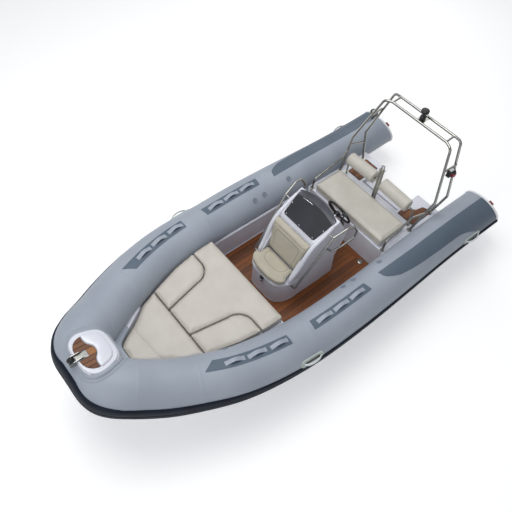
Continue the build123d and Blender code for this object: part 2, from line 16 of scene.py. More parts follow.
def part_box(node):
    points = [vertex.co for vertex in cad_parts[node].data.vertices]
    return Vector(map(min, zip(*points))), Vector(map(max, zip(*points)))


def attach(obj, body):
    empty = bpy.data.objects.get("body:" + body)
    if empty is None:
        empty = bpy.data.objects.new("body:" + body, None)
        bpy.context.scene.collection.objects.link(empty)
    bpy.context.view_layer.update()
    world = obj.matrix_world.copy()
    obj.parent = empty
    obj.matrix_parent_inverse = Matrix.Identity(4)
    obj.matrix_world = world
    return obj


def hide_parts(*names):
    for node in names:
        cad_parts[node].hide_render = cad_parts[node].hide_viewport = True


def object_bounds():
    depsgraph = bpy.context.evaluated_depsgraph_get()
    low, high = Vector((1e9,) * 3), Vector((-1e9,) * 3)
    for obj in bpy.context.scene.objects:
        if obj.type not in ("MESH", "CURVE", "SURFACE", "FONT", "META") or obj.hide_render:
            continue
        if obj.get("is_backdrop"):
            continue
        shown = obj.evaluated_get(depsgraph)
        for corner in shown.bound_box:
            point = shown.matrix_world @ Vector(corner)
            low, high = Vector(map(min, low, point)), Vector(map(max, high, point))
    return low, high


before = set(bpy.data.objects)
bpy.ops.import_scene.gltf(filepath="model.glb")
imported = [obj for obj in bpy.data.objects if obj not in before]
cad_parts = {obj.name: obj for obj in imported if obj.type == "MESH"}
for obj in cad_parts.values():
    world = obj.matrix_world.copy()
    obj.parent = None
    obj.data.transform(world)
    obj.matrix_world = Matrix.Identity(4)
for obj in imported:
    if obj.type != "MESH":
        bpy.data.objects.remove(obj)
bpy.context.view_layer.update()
scene = bpy.context.scene

# %% [markdown]
# ## One set of millimetres
# A boatbuilder draws every piece from one datum. Here it is a point on the keel near the
# middle of the boat, and the stern platforms end 2033 mm behind it. Blender works in metres
# from another origin, so one function carries points from the drawing to the scene.

# %% From the drawing to the scene
STERN_X = -2033.0
DATUM = np.array([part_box("hull")[0].x * 1000 - STERN_X, 0.0, 0.0])


def to_scene(points):
    """Drawing millimetres to scene metres: add the datum and divide by 1000."""
    return (np.asarray(points, float) + DATUM) / 1000.0


print("datum x", round(DATUM[0], 2), "mm")

# %% [markdown]
# ## Surfaces on a grid
# A surface is a table of points, n along by m across. Two neighbours along and two across
# make a four-sided face, and a table that closes on itself wraps its last row to its first.
# Slabs have a top and a bottom table and four edge strips, so that they are closed bodies.

# %% Faces of a grid


def grid_faces(n, m, wrap_n, wrap_m):
    """Corner numbers of the faces of an n by m table, row after row."""
    i = np.arange(n if wrap_n else n - 1)
    j = np.arange(m if wrap_m else m - 1)
    i, j = np.meshgrid(i, j, indexing="ij")
    i2, j2 = (i + 1) % n, (j + 1) % m
    return np.stack([i * m + j, i2 * m + j, i2 * m + j2, i * m + j2], -1).reshape(-1, 4)


print("a 5 by 4 table has", len(grid_faces(5, 4, False, False)), "faces, or as a closed tube",
      len(grid_faces(5, 4, False, True)))

# %% Sheets and slabs


def sheet(points, wrap=(False, False), caps=False, mat=0, tone=0.0):
    """A table of points with how it closes: wrap along, wrap across, caps on its two ends."""
    return {"points": np.asarray(points, float), "wrap": wrap, "caps": caps, "mat": mat, "tone": tone}


def capped(points, mat=0):
    """A table that closes across, with a cap on each end, as a tube or a turned piece has."""
    return sheet(points, wrap=(False, True), caps=True, mat=mat)


def slab(top, bottom, mat=0, tone=0.0):
    """A closed slab between two tables of the same size."""
    top, bottom = np.asarray(top, float), np.asarray(bottom, float)
    edges = [np.stack([top[0], bottom[0]]), np.stack([top[-1], bottom[-1]]),
             np.stack([top[:, 0], bottom[:, 0]]), np.stack([top[:, -1], bottom[:, -1]])]
    return [sheet(t, mat=mat, tone=tone) for t in [top, bottom] + edges]


print("a slab is", len(slab(np.zeros((2, 2, 3)), np.ones((2, 2, 3)))), "sheets")

# %% From tables to a piece
WELD_MM = 0.05      # points closer than this become one


def in_scene(name, data):
    """New object of that data, linked to the scene."""
    obj = bpy.data.objects.new(name, data)
    scene.collection.objects.link(obj)
    return obj


def tidy_mesh(mesh, sharp_deg):
    """Joins the points where sheets meet, turns the faces outwards and keeps hard edges."""
    work = bmesh.new()
    work.from_mesh(mesh)
    bmesh.ops.remove_doubles(work, verts=work.verts, dist=WELD_MM / 1000)
    bmesh.ops.dissolve_degenerate(work, edges=work.edges, dist=1e-6)
    bmesh.ops.recalc_face_normals(work, faces=work.faces)
    work.to_mesh(mesh)
    work.free()
    mesh.shade_smooth()
    if sharp_deg:
        mesh.set_sharp_from_angle(angle=np.radians(sharp_deg))


def make(name, sheets, materials, body="boat", stands_for=(), sharp=38.0):
    """Joins sheets into one mesh, rides it on a body and lets it stand for CAD nodes."""
    verts, faces, slots, tones = [], [], [], []
    start = 0
    for s in sheets:
        n, m = s["points"].shape[:2]
        verts.append(to_scene(s["points"].reshape(-1, 3)))
        new = (grid_faces(n, m, *s["wrap"]) + start).tolist()
        if s["caps"]:
            new.append(list(range(start + m - 1, start - 1, -1)))
            new.append(list(range(start + (n - 1) * m, start + n * m)))
        faces += new
        slots += [s["mat"]] * len(new)
        tones += [s["tone"]] * len(new)
        start += n * m
    mesh = bpy.data.meshes.new(name)
    mesh.from_pydata(np.concatenate(verts), [], faces)
    mesh.polygons.foreach_set("material_index", slots)
    mesh.attributes.new("tone", "FLOAT", "FACE").data.foreach_set("value", tones)
    for material in materials if isinstance(materials, (list, tuple)) else [materials]:
        mesh.materials.append(material)
    tidy_mesh(mesh, sharp)
    obj = in_scene(name, mesh)
    if stands_for:
        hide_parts(*stands_for)
    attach(obj, body)
    print(f"{name}: {len(mesh.polygons)} faces on {body}")
    return obj


# %% [markdown]
# ## Smooth lines through few points
# A loftsman bends a batten through a few marks. The batten is a cubic spline: between two
# marks it is a cubic, and at each mark its slope and its bend carry on unbroken.

# %% The batten


def batten(points):
    """Natural cubic spline through points, run by chord length: the bends M at the marks solve one
    linear system. Returns (length at each mark, function that gives the point at a length)."""
    P = np.array(points, float)
    h = np.linalg.norm(np.diff(P, axis=0), axis=1)
    t = np.r_[0.0, np.cumsum(h)]
    n = len(t)
    inner = np.arange(1, n - 1)
    A = np.eye(n)
    A[inner, inner - 1] = h[:-1]
    A[inner, inner] = 2 * (h[:-1] + h[1:])
    A[inner, inner + 1] = h[1:]
    B = np.zeros_like(P)
    slope = np.diff(P, axis=0) / h[:, None]
    B[1:-1] = 6 * np.diff(slope, axis=0)
    M = np.linalg.solve(A, B)

    def at(q):
        """Point at length q: the cubic of its stretch, from the marks and bends at both ends."""
        q = np.asarray(q, float)
        i = np.clip(np.searchsorted(t, q) - 1, 0, n - 2)
        a, b, w = (t[i + 1] - q)[..., None], (q - t[i])[..., None], h[i][..., None]
        return (M[i] * a**3 + M[i + 1] * b**3) / (6 * w) + (P[i] / w - M[i] * w / 6) * a + (
            P[i + 1] / w - M[i + 1] * w / 6) * b

    return t, at


def unit(v):
    """Vectors divided by their own lengths."""
    return v / np.linalg.norm(v, axis=-1, keepdims=True)


UP = np.array([0.0, 0.0, 1.0])
run, bent = batten([(0, 0), (100, 40), (200, 0)])
print("a batten with its middle mark 40 mm up passes its quarter at", bent(run[-1] / 4).round(1))

# %% [markdown]
# ## Finishes
# One function turns a printed colour into the linear numbers that the renderer adds and
# multiplies, and one adds a node with its settings and links. Every finish starts from what
# the real material is, and its pattern's size is worked out from millimetres.

# %% Colours and nodes


def linear(code):
    """sRGB hex code to linear RGBA: (c + 0.055) / 1.055 to the power 2.4, or c / 12.92 when dark."""
    c = np.array([int(code[i:i + 2], 16) for i in (1, 3, 5)]) / 255
    c = np.where(c <= 0.04045, c / 12.92, ((c + 0.055) / 1.055) ** 2.4)
    return (*c.tolist(), 1.0)


def add(material, kind, values={}, links={}, **settings):
    """Adds a node: settings are its options, values its sockets, links socket -> (node, output)."""
    node = material.node_tree.nodes.new(kind)
    for key, value in settings.items():
        setattr(node, key, value)
    for key, value in values.items():
        node.inputs[key].default_value = value
    for key, (source, output) in links.items():
        material.node_tree.links.new(source.outputs[output], node.inputs[key])
    return node


def finish(name, colour, roughness, **values):
    """A material and its Principled shader, set to a colour, a roughness and other sockets."""
    material = bpy.data.materials.new(name)
    material.use_nodes = True
    shader = material.node_tree.nodes["Principled BSDF"]
    shader.inputs["Base Color"].default_value = linear(colour)
    shader.inputs["Roughness"].default_value = roughness
    for key, value in values.items():
        shader.inputs[key.replace("_", " ")].default_value = value
    print(f"finish {name}: {colour}, roughness {roughness}")
    return material, shader


print("half grey #808080 is", round(linear("#808080")[0], 3), "in linear light")

# %% Patterns sized in millimetres


def per_mm(size_mm):
    """Texture scale whose cells are size_mm wide on Object coordinates, which are metres."""
    return 1000.0 / size_mm


def grain(material, shader, size_mm, depth_mm, strength, kind="ShaderNodeTexNoise"):
    """Bump from a noise or cell pattern of that size and depth."""
    place = add(material, "ShaderNodeTexCoord")
    tex = add(material, kind, {"Scale": per_mm(size_mm)}, {"Vector": (place, "Object")})
    out = "Distance" if kind == "ShaderNodeTexVoronoi" else "Fac"
    bump = add(material, "ShaderNodeBump", {"Distance": depth_mm / 1000, "Strength": strength},
               {"Height": (tex, out)})
    material.node_tree.links.new(bump.outputs["Normal"], shader.inputs["Normal"])


def ramped(material, shader, source, output, first, second, low, high):
    """Base colour that goes from first to second while a node's output goes from low to high."""
    ramp = add(material, "ShaderNodeValToRGB", links={"Fac": (source, output)})
    for element, position, code in zip(ramp.color_ramp.elements, (low, high), (first, second)):
        element.position = position
        element.color = linear(code)
    material.node_tree.links.new(ramp.outputs["Color"], shader.inputs["Base Color"])


def mottle(material, shader, first, second, size_mm):
    """Base colour that drifts between two colours over a soft noise of that size."""
    place = add(material, "ShaderNodeTexCoord")
    tex = add(material, "ShaderNodeTexNoise", {"Scale": per_mm(size_mm), "Detail": 6.0},
              {"Vector": (place, "Object")})
    ramped(material, shader, tex, "Fac", first, second, 0.35, 0.65)


def patterned(name, colour, roughness, drift=None, bump=None, **values):
    """A finish with its patterns: drift is (colour, colour, mm), bump is (mm, depth in mm, strength)."""
    material, shader = finish(name, colour, roughness, **values)
    if drift:
        mottle(material, shader, *drift)
    if bump:
        grain(material, shader, *bump)
    return material


print("cells of 5 mm take a scale of", per_mm(5))

# %% Coated fabric of the collar
# Polyester cloth under a rubbery coat, glued in panels: matt, with a fine weave that
# shows only as a soft broken highlight.


def coated_fabric(name, first, second):
    """Matt fabric that drifts over 420 mm, with a 5 mm weave, drawn coarse so that it shows."""
    return patterned(name, first, 0.52, (first, second, 420), (5.0, 0.25, 0.5),
                     Sheen_Weight=0.08, Sheen_Roughness=0.4)


GREY_FABRIC = coated_fabric("coated_fabric_pale_grey", "#98A0AC", "#A0A8B3")
SLATE_FABRIC = coated_fabric("coated_fabric_slate", "#52606F", "#5A6876")

# %% Rubber of the strake and of small parts
# Extruded rubber, dark navy with a dull shine from handling. Moulded black rubber is smoother.
NAVY_RUBBER = patterned("extruded_rubber_navy", "#131B28", 0.62, ("#111824", "#18202E", 160), (9.0, 0.2, 0.4),
                        Specular_IOR_Level=0.18)
BLACK_RUBBER = patterned("moulded_rubber_black", "#17181A", 0.5, bump=(3.0, 0.1, 0.5))

# %% Gelcoat
# Pigmented polyester sprayed into a polished mould: white, glassy, very slightly wavy.
GELCOAT = patterned("gelcoat_white", "#D9DBE4", 0.24, ("#D5D7E0", "#DDDFE8", 260), (30.0, 0.25, 0.35),
                    Coat_Weight=0.35, Coat_Roughness=0.08)

# %% Synthetic teak
# Extruded PVC planks, brushed along their length, in black caulking. Each board has its
# own tone, held in the mesh, and the brushing stretches a noise 40 times along the boat.


def teak(name, dark, light, roughness):
    """Brushed planks: a 3 mm fibre noise stretched along x, plus each board's own tone."""
    material, shader = finish(name, dark, roughness)
    place = add(material, "ShaderNodeTexCoord")
    along = add(material, "ShaderNodeMapping", {"Scale": (0.025, 1.0, 1.0)}, {"Vector": (place, "Object")})
    fibre = add(material, "ShaderNodeTexNoise", {"Scale": per_mm(3.0), "Detail": 5.0, "Roughness": 0.65},
                {"Vector": (along, "Vector")})
    board = add(material, "ShaderNodeAttribute", attribute_name="tone")
    mix = add(material, "ShaderNodeMath", {1: 0.55}, {0: (fibre, "Fac")}, operation="MULTIPLY")
    total = add(material, "ShaderNodeMath", {}, {0: (mix, 0), 1: (board, "Fac")}, operation="ADD")
    ramped(material, shader, total, 0, dark, light, 0.12, 0.72)
    bump = add(material, "ShaderNodeBump", {"Distance": 0.0004, "Strength": 0.6}, {"Height": (fibre, "Fac")})
    material.node_tree.links.new(bump.outputs["Normal"], shader.inputs["Normal"])
    return material


SOLE_TEAK = teak("synthetic_teak_sole", "#50280C", "#AA6224", 0.46)
STEP_TEAK = teak("synthetic_teak_step", "#5A3018", "#A06A3A", 0.5)
CAULK = patterned("caulking_black", "#17120F", 0.6, bump=(6.0, 0.3, 0.5))

# %% Sewn vinyl
# Marine upholstery: PVC film on knitted cloth, with a pressed leather grain of about
# 1.5 mm, drawn here at 4 mm so that it shows.


def vinyl(name, first, second):
    """Satin vinyl: a 4 mm cell grain laid over soft 70 mm folds."""
    material, shader = finish(name, first, 0.5, Sheen_Weight=0.1, Sheen_Roughness=0.5)
    mottle(material, shader, first, second, 180)
    place = add(material, "ShaderNodeTexCoord")
    cells = add(material, "ShaderNodeTexVoronoi", {"Scale": per_mm(4.0)}, {"Vector": (place, "Object")})
    folds = add(material, "ShaderNodeTexNoise", {"Scale": per_mm(70.0), "Detail": 3.0},
                {"Vector": (place, "Object")})
    fine = add(material, "ShaderNodeBump", {"Distance": 0.0003, "Strength": 0.5},
               {"Height": (cells, "Distance")})
    both = add(material, "ShaderNodeBump", {"Distance": 0.004, "Strength": 0.35},
               {"Height": (folds, "Fac"), "Normal": (fine, "Normal")})
    material.node_tree.links.new(both.outputs["Normal"], shader.inputs["Normal"])
    return material


BOW_VINYL = vinyl("sewn_vinyl_bow_cream", "#C2BCB2", "#C9C3BB")
SEAT_VINYL = vinyl("sewn_vinyl_seat_cream", "#B0AA98", "#B9B3A2")
BENCH_VINYL = vinyl("sewn_vinyl_bench_cream", "#C4C0B6", "#CCC8BE")
SEAM_THREAD = patterned("sewn_seam_thread", "#8F887A", 0.6, bump=(3.0, 0.2, 0.6))
PIPING = patterned("vinyl_piping", "#BAB4A8", 0.5, bump=(4.0, 0.2, 0.5))

# %% Metal and plastics
# Stainless tube is drawn and polished: mirror-like, with faint marks along it. Moulded
# plastics are satin, and the lenses are clear and hard.
STAINLESS = patterned("polished_stainless_steel", "#A3A39E", 0.2, bump=(25.0, 0.08, 0.5), Metallic=1.0)
BLACK_PLASTIC = patterned("moulded_abs_black", "#1B1C1E", 0.38, bump=(2.5, 0.08, 0.5))
WHITE_PLASTIC = patterned("moulded_nylon_white", "#CDD1CE", 0.45, ("#C6CAC6", "#D3D7D4", 60))
SILVER_PLASTIC = patterned("chromed_plastic", "#C4C8D0", 0.22, Metallic=0.8)
SMOKED = patterned("smoked_acrylic", "#2C2D33", 0.42, ("#2A2B31", "#303138", 240), Specular_IOR_Level=0.18)
# The screen's bent rear edge: a lighter grey that is a painted sky reflection.
SMOKED_PAINTED_REFLECTION = patterned("smoked_acrylic_painted_reflection", "#4A4C52", 0.32, ("#46484E", "#505259", 120),
                        Specular_IOR_Level=0.35)
RED_LENS = patterned("red_lens", "#7E0A1C", 0.12, Coat_Weight=0.6)
GREEN_LENS = patterned("green_lens", "#0C6B3A", 0.12, Coat_Weight=0.6)
RIM_WHITE = patterned("white_rim_rubber", "#F2F2F6", 0.4, bump=(8.0, 0.2, 0.4))
print("finishes", len(bpy.data.materials))

# %% [markdown]
# ## The collar
# The collar is one air tube bent round the boat. Its middle line is a batten through a few
# marks. Round it, every point of the skin is the middle point, plus the radius times
# (cosine of an angle times outboard, plus sine of the angle times up). So a place on the
# skin is two numbers: how far along, and at what angle above the outboard side.

# %% Middle line
COLLAR = [  # x, y, z of the port half, from the stern to the bow
    (-2470, 860, 522), (-1775, 851, 537), (-1080, 867, 559), (-80, 883, 594), (380, 866, 614),
    (820, 823, 673), (1206, 738, 723), (1459, 643, 766), (1710, 529, 810), (1894, 426, 864),
    (2057, 325, 931), (2154, 220, 950), (2165, 111, 961)]
COLLAR += [(x, -y, z) for x, y, z in COLLAR[::-1]]
TUBE_R, TUBE_R_BOW = 244.0, 251.0
marks, middle_line = batten(COLLAR)
HALF = marks[-1] / 2
END_LEAN = 0.45     # the ends lean: every millimetre down stands this much further aft
END_REACH = 72.0    # and they reach this far past the middle line
print("the middle line is", round(marks[-1]), "mm long")

# %% Skin of the collar


def skin(s, angle, lift=0.0, side=1):
    """Point of the collar's skin at length s from the port stern, at an angle above outboard."""
    s, angle, lift = np.broadcast_arrays(*(np.asarray(q, float) for q in (s, angle, lift)))
    c = middle_line(s)
    along = unit(middle_line(s + 1) - middle_line(s - 1))
    out = unit(np.cross(np.broadcast_to(UP, along.shape), along))
    up = np.cross(along, out)
    near = np.minimum(s, marks[-1] - s)
    r = TUBE_R + (TUBE_R_BOW - TUBE_R) * np.clip((near - marks[3]) / (HALF - marks[3]), 0, 1) + lift
    a = np.radians(angle)
    p = c + r[..., None] * (np.cos(a)[..., None] * out + np.sin(a)[..., None] * up)
    end = 1 - near / marks[1]
    p[..., 0] += END_LEAN * np.clip(end, 0, 1) * (p[..., 2] - c[..., 2]) - END_REACH * np.clip(end, 0, 2) ** 2
    p[..., 1] *= side
    return p


print("the collar is", round(float(np.ptp(skin(marks[4], np.arange(360))[:, 2]))), "mm high amidships")

# %% Places on the skin
dense = np.linspace(0, HALF, 2000)
dense_x = middle_line(dense)[:, 0]


def s_at(x):
    """Length along the port side at which the middle line passes x."""
    return np.interp(x, dense_x, dense)


def frame_on_skin(x, angle, side, lift=0.0):
    """Origin, forward, across and outward unit vectors on the skin."""
    s = s_at(x)
    o = skin(s, angle, lift, side)
    fore = unit(skin(s + 2, angle, lift, side) - skin(s - 2, angle, lift, side))
    over = unit(skin(s, angle + 1, lift, side) - skin(s, angle - 1, lift, side))
    out = unit(np.cross(over, fore) * side)
    return o, fore, over, out


print("x = 0 lies", round(float(s_at(0))), "mm from the stern end of the middle line")

# %% Collar tube
# Panels of cloth overlap in glued seams: a 30 mm band, 0.9 mm proud, at some of the marks.
# Rows of points stand closer round the bow and on both edges of each seam.
BOW_SPAN = 700.0
ROUND_TUBE = np.linspace(0, 360, 72, endpoint=False)
SEAM_PROUD, SEAM_HALF = 0.9, 14
SEAM_ROWS = np.array([-17, -15, -13, 13, 15, 17])
SEAMS = np.array([marks[1] * 0.45, marks[2], marks[4], marks[7] + 60, marks[10] - 70])
SEAMS = np.r_[SEAMS, marks[-1] - SEAMS]


def stations(bow_rows, extra=()):
    """Lengths of the rows along the collar: 240 evenly, more round the bow, and extra ones."""
    bow = np.linspace(HALF - BOW_SPAN, HALF + BOW_SPAN, bow_rows)
    return np.unique(np.r_[np.linspace(0, marks[-1], 240), bow, np.ravel(extra)])


s = stations(90, SEAMS[:, None] + SEAM_ROWS)
proud = SEAM_PROUD * (np.abs(s[:, None] - SEAMS).min(1) < SEAM_HALF)
make("collar_tube", [capped(skin(s[:, None], ROUND_TUBE, proud[:, None]))], GREY_FABRIC,
     stands_for=["collar"], sharp=60)

# %% [markdown]
# ## Rubbing strake
# A thick rubber fender runs round the outside, narrow along the sides and deep round the
# bow, where it meets the quay. Its section is a flat D with ribs, carried along the collar
# between a low and a high angle.

# %% Strake
# Angles of its upper and lower edge at each mark, and its section as (share of the way from
# the lower edge to the upper, height over the skin).
HIGH = [4, 4, 5, 8, 8, 11, 16, 19, 21, 21, 20, 30, 37]
LOW = [-16, -16, -16, -17, -18, -20, -22, -23, -24, -26, -28, -30, -30]
D_SECTION = [(0, -2), (0.005, 6), (0.05, 13), (0.12, 16), (0.36, 16), (0.40, 11), (0.44, 16), (0.56, 16),
             (0.60, 11), (0.64, 16), (0.88, 16), (0.95, 13), (0.995, 6), (1.0, -2)]
s = stations(110)
high = np.interp(s, marks, HIGH + HIGH[::-1])
low = np.interp(s, marks, LOW + LOW[::-1])
share, proud = np.array(D_SECTION).T
make("rubbing_strake_ribbed", [capped(skin(s[:, None], low[:, None] + (high - low)[:, None] * share, proud))],
     NAVY_RUBBER, stands_for=["rubbing_strake"])

# %% [markdown]
# ## Patches, loops and valves
# Slate patches are glued on before anything is fixed to the tube. An edge chosen in length
# and angle makes each one a thin slab on the skin. Four long ones carry three carrying loops
# each, straps that rise from the patch, and the two big ones save the stern from chafe.

# %% Patches glued to the skin
SIDES = ((1, "port"), (-1, "stbd"))
PATCH_PROUD, PATCH_BACK = 1.6, -2.0


def patch(x, angle, side):
    """Slab on the skin over a table of x and angle; its back lies a little inside the tube."""
    s = s_at(x)
    return slab(skin(s, angle, PATCH_PROUD, side), skin(s, angle, PATCH_BACK, side))


def curve_through(x, table):
    """Values at x read from a table of (x, value) rows."""
    t = np.array(sorted(table), float)
    return np.interp(x, t[:, 0], t[:, 1])


STERN_LOW = [(-651, 99), (-662, 88), (-686, 80), (-752, 71), (-842, 62.4), (-987, 56.3), (-1143, 52),
             (-1309, 49.4), (-1482, 47), (-1840, 44.5), (-1935, 40), (-2007, 34), (-2080, 26),
             (-2140, 16), (-2170, 8), (-2185, 4.5), (-2460, 4.5)]
STERN_HIGH = [(-651, 101.5), (-900, 99), (-1200, 96), (-1700, 94), (-2460, 94)]
x = np.r_[np.linspace(-2462, -2100, 24), np.linspace(-2090, -700, 60), np.linspace(-690, -651, 10)][:, None]
v = np.linspace(0, 1, 26)
angle = curve_through(x, STERN_LOW) * (1 - v) + curve_through(x, STERN_HIGH) * v
for side, word in SIDES:
    make(f"stern_patch_{word}", patch(x, angle, side), SLATE_FABRIC)

# %% Loop patches with their carrying loops
# Each row: aft end (outer x, inner x), fore end (outer x, inner x), angle of the middle line
# at both ends, places of the three loops.
LOOP_PATCHES = {"fwd": ((629, 635), (1471, 1390), (89.0, 96.5), (751, 976, 1199)),
                "aft": ((-448, -434), (342, 328), (90.0, 90.0), (-286, -61, 164))}
PATCH_HALF = 12.5       # degrees
STRAP_HALF, STRAP_RISE, STRAP_W, STRAP_T = 98.0, 27.0, 46.0, 5.0


def circle(n):
    """n angles evenly round one turn, in radians."""
    return np.linspace(0, 2 * np.pi, n, endpoint=False)


def strap(x, angle, side):
    """Arched strap: it leaves the patch, rises as a power of a cosine and comes down again."""
    o, fore, over, out = frame_on_skin(x, angle, side, 1.5)
    u = np.linspace(-1, 1, 41)
    rise = STRAP_RISE * np.cos(np.clip(np.abs(u) / 0.86, 0, 1) * np.pi / 2) ** 1.4
    width = STRAP_W / 2 * (1 - 0.12 * (1 - np.abs(u)))
    a = circle(16)
    across = np.sign(np.cos(a)) * np.abs(np.cos(a)) ** 0.35
    lift = np.sign(np.sin(a)) * np.abs(np.sin(a)) ** 0.5
    # the strap lies on a round tube, so its edges drop by y squared over twice the radius
    y = width[:, None] * across
    z = rise[:, None] + STRAP_T / 2 * lift + 1.2 - (1 - rise[:, None] / STRAP_RISE) * y**2 / (2 * TUBE_R)
    p = o + (u * STRAP_HALF)[:, None, None] * fore + y[..., None] * over + z[..., None] * out
    return capped(p, mat=1)


w = np.unique(np.r_[np.linspace(0, 1, 46), np.linspace(0, 0.02, 6), np.linspace(0.98, 1, 6)])[:, None]
v = np.linspace(-1, 1, 15)
near_end = np.clip(1 - np.minimum(w, 1 - w) / 0.015, 0, 1)
for key, (aft, fore_end, turn, middles) in LOOP_PATCHES.items():
    aft_x, fore_x = ((outer * (1 - v) + inner * (1 + v)) / 2 for outer, inner in (aft, fore_end))
    x = aft_x * (1 - w) + fore_x * w
    a = turn[0] + (turn[1] - turn[0]) * w + PATCH_HALF * (1 - 0.06 * near_end**2) * v
    for side, word in SIDES:
        straps = [strap(m, np.interp(m, (aft[0], fore_end[0]), turn), side) for m in middles]
        make(f"loop_patch_{key}_{word}", patch(x, a, side) + straps, [SLATE_FABRIC, GREY_FABRIC],
             stands_for=[f"loops_{key}_{word}"])

# %% Air valves
# A moulded cup with a raised ring and a screw-in cap: a profile of (radius, height) turned
# round the outward direction. The fore valve is on the port side only.


def turned(profile, origin, out, fore, n=32, mat=0):
    """A profile of (radius, height) rows turned round out, standing on origin."""
    prof = np.asarray(profile, float)
    across = np.cross(out, fore)
    a = circle(n)
    ring = np.cos(a)[:, None] * fore + np.sin(a)[:, None] * across
    return capped(origin + prof[:, 0, None, None] * ring + (prof[:, 1, None, None] * out), mat=mat)


VALVES = [(x, a, side) for x, a in ((-797, 126), (-417, 132), (-274, 134)) for side in (1, -1)]
VALVES.append((1207, 146, 1))
CUP = [(30, -3), (31, 2.5), (28, 4.5), (24, 4.5), (22, 1.5), (21, 1.0), (13, 1.0), (12.5, 3.5),
       (11, 4.5), (4, 4.5), (3.5, 3), (0.3, 3)]
VALVE_GREY = patterned("moulded_valve_grey", "#7E8894", 0.45, bump=(3.0, 0.1, 0.4))
parts = []
for x, a, side in VALVES:
    o, fore, over, out = frame_on_skin(x, a, side)
    parts.append(turned(CUP, o, out, fore))
make("air_valves", parts, VALVE_GREY)

# %% End caps
# The tube ends are closed by dished cones behind a white rim. The rim is a half-round bead
# and the cone has three steps pressed into it. Both lean with the end of the tube.


def end_ring(rows, side, mat=0, caps=False):
    """Rows of (radius, distance aft) carried round a tube end, slanted like the end itself."""
    rows = np.array(rows, float)
    ring = skin(-rows[:, 1:], ROUND_TUBE, rows[:, :1] - TUBE_R, side)
    return sheet(ring, wrap=(False, True), caps=caps, mat=mat)


RIM = [(TUBE_R + proud, aft) for proud, aft in (
    (-6, -10), (3.5, -10), (5.5, -8), (5.5, -4), (9, -1), (9, 9), (3, 15), (-8, 16.5), (-20, 14), (-24, 8))]
CONE = [(TUBE_R - 8, 4), (TUBE_R - 22, 9), (TUBE_R - 30, 12), (180, 20), (172, 21), (140, 27), (132, 28),
        (100, 34), (80, 36), (40, 37), (36, 35), (12, 35), (10, 37), (0.5, 37)]
for side, word in SIDES:
    make(f"tube_end_{word}", [end_ring(RIM, side), end_ring(CONE, side, mat=1, caps=True)],
         [RIM_WHITE, GREY_FABRIC], stands_for=[f"end_cap_{word}"], sharp=50)

# %% [markdown]
# ## Mouldings
# Fibreglass parts come out of a mould, so every edge is round. Two ways are used. A profile
# of (inset, height) carried round a plan outline gives the small parts. The large ones are
# copies of the solids with their points joined, and a bevel rounds each hard edge by a set
# radius.

# %% Outlines with round corners


def rounded(corners, radius, n=7):
    """Closed outline: each corner becomes an arc of its radius, by turning from one side to the next.
    A corner that is nearly straight, or has no radius, stays as it is."""
    P = np.array(corners, float)
    R = np.broadcast_to(radius, len(P))
    out = []
    for p, before, after, r in zip(P, np.roll(P, 1, 0), np.roll(P, -1, 0), R):
        a, b = unit(before - p), unit(after - p)
        half = np.arccos(np.clip(a @ b, -1, 1)) / 2
        if half > 1.55 or r < 0.5:
            out.append(p[None])
            continue
        d = min(r / np.tan(half), 0.48 * np.linalg.norm(before - p), 0.48 * np.linalg.norm(after - p))
        r = d * np.tan(half)
        c = p + unit(a + b) * r / np.sin(half)
        v0, v1, turn = p + a * d - c, p + b * d - c, np.pi - 2 * half
        t = np.linspace(0, 1, n)[:, None]
        out.append(c + (np.sin((1 - t) * turn) * v0 + np.sin(t * turn) * v1) / np.sin(turn))
    return np.concatenate(out)


print("a square with round corners has", len(rounded([(0, 0), (99, 0), (99, 99), (0, 99)], 20)), "points")

# %% Even and eased outlines


def line_lengths(points):
    """Length from the first point to each point of a line."""
    return np.r_[0, np.cumsum(np.linalg.norm(np.diff(points, axis=0), axis=1))]


def evened(outline, step):
    """The same closed outline with points about step apart."""
    P = np.vstack([outline, outline[:1]])
    t = line_lengths(P)
    q = np.linspace(0, t[-1], max(12, int(t[-1] / step)), endpoint=False)
    return np.stack([np.interp(q, t, P[:, k]) for k in range(P.shape[1])], -1)


def eased(outline, rounds):
    """Closed outline with each point moved half-way to the middle of its neighbours, some rounds."""
    for _ in range(rounds):
        outline = 0.5 * outline + 0.25 * (np.roll(outline, 1, 0) + np.roll(outline, -1, 0))
    return outline


def inset(outline, distance):
    """Outline moved inwards: each point goes along the mean normal of its two neighbours."""
    t = np.roll(outline, -1, 0) - np.roll(outline, 1, 0)
    n = unit(np.stack([-t[:, 1], t[:, 0]], -1))
    area = np.sum(outline[:, 0] * np.roll(outline[:, 1], -1) - np.roll(outline[:, 0], -1) * outline[:, 1])
    return outline + n * np.sign(area) * distance


square = evened(np.array([(0, 0), (99, 0), (99, 99), (0, 99)], float), 3)
print("a 99 mm square set in by 10 mm is", np.ptp(inset(square, 10), axis=0).round(1), "mm")

# %% Profiles round an outline


def at_height(plan, z):
    """Plan points lifted to height z, one number or one for each point."""
    return np.column_stack([plan, np.broadcast_to(z, len(plan))])


def moulding(outline, profile, mat=0):
    """Profile rows of (inset, z) carried round a plan outline, capped at both ends."""
    return capped(np.stack([at_height(inset(outline, d), z) for d, z in profile]), mat=mat)


def both_sides(half):
    """A half outline and its mirror image across the middle of the boat."""
    half = np.array(half, float)
    return np.vstack([half, (half * [1, -1])[::-1]])


def block_edges(z0, z1, r, foot=2.0):
    """Profile of a block with a round top edge of radius r and a small foot radius."""
    a = np.linspace(0, np.pi / 2, 6)
    return [(foot, z0), (0, z0 + foot)] + [(r - r * np.cos(t), z1 - r + r * np.sin(t)) for t in a]


print("a block's edge profile has", len(block_edges(0, 20, 5)), "rows")

# %% Copies with round edges
JOIN_M, FLAT_DEG = 2e-5, 1.5        # points this close are one, faces this nearly level merge


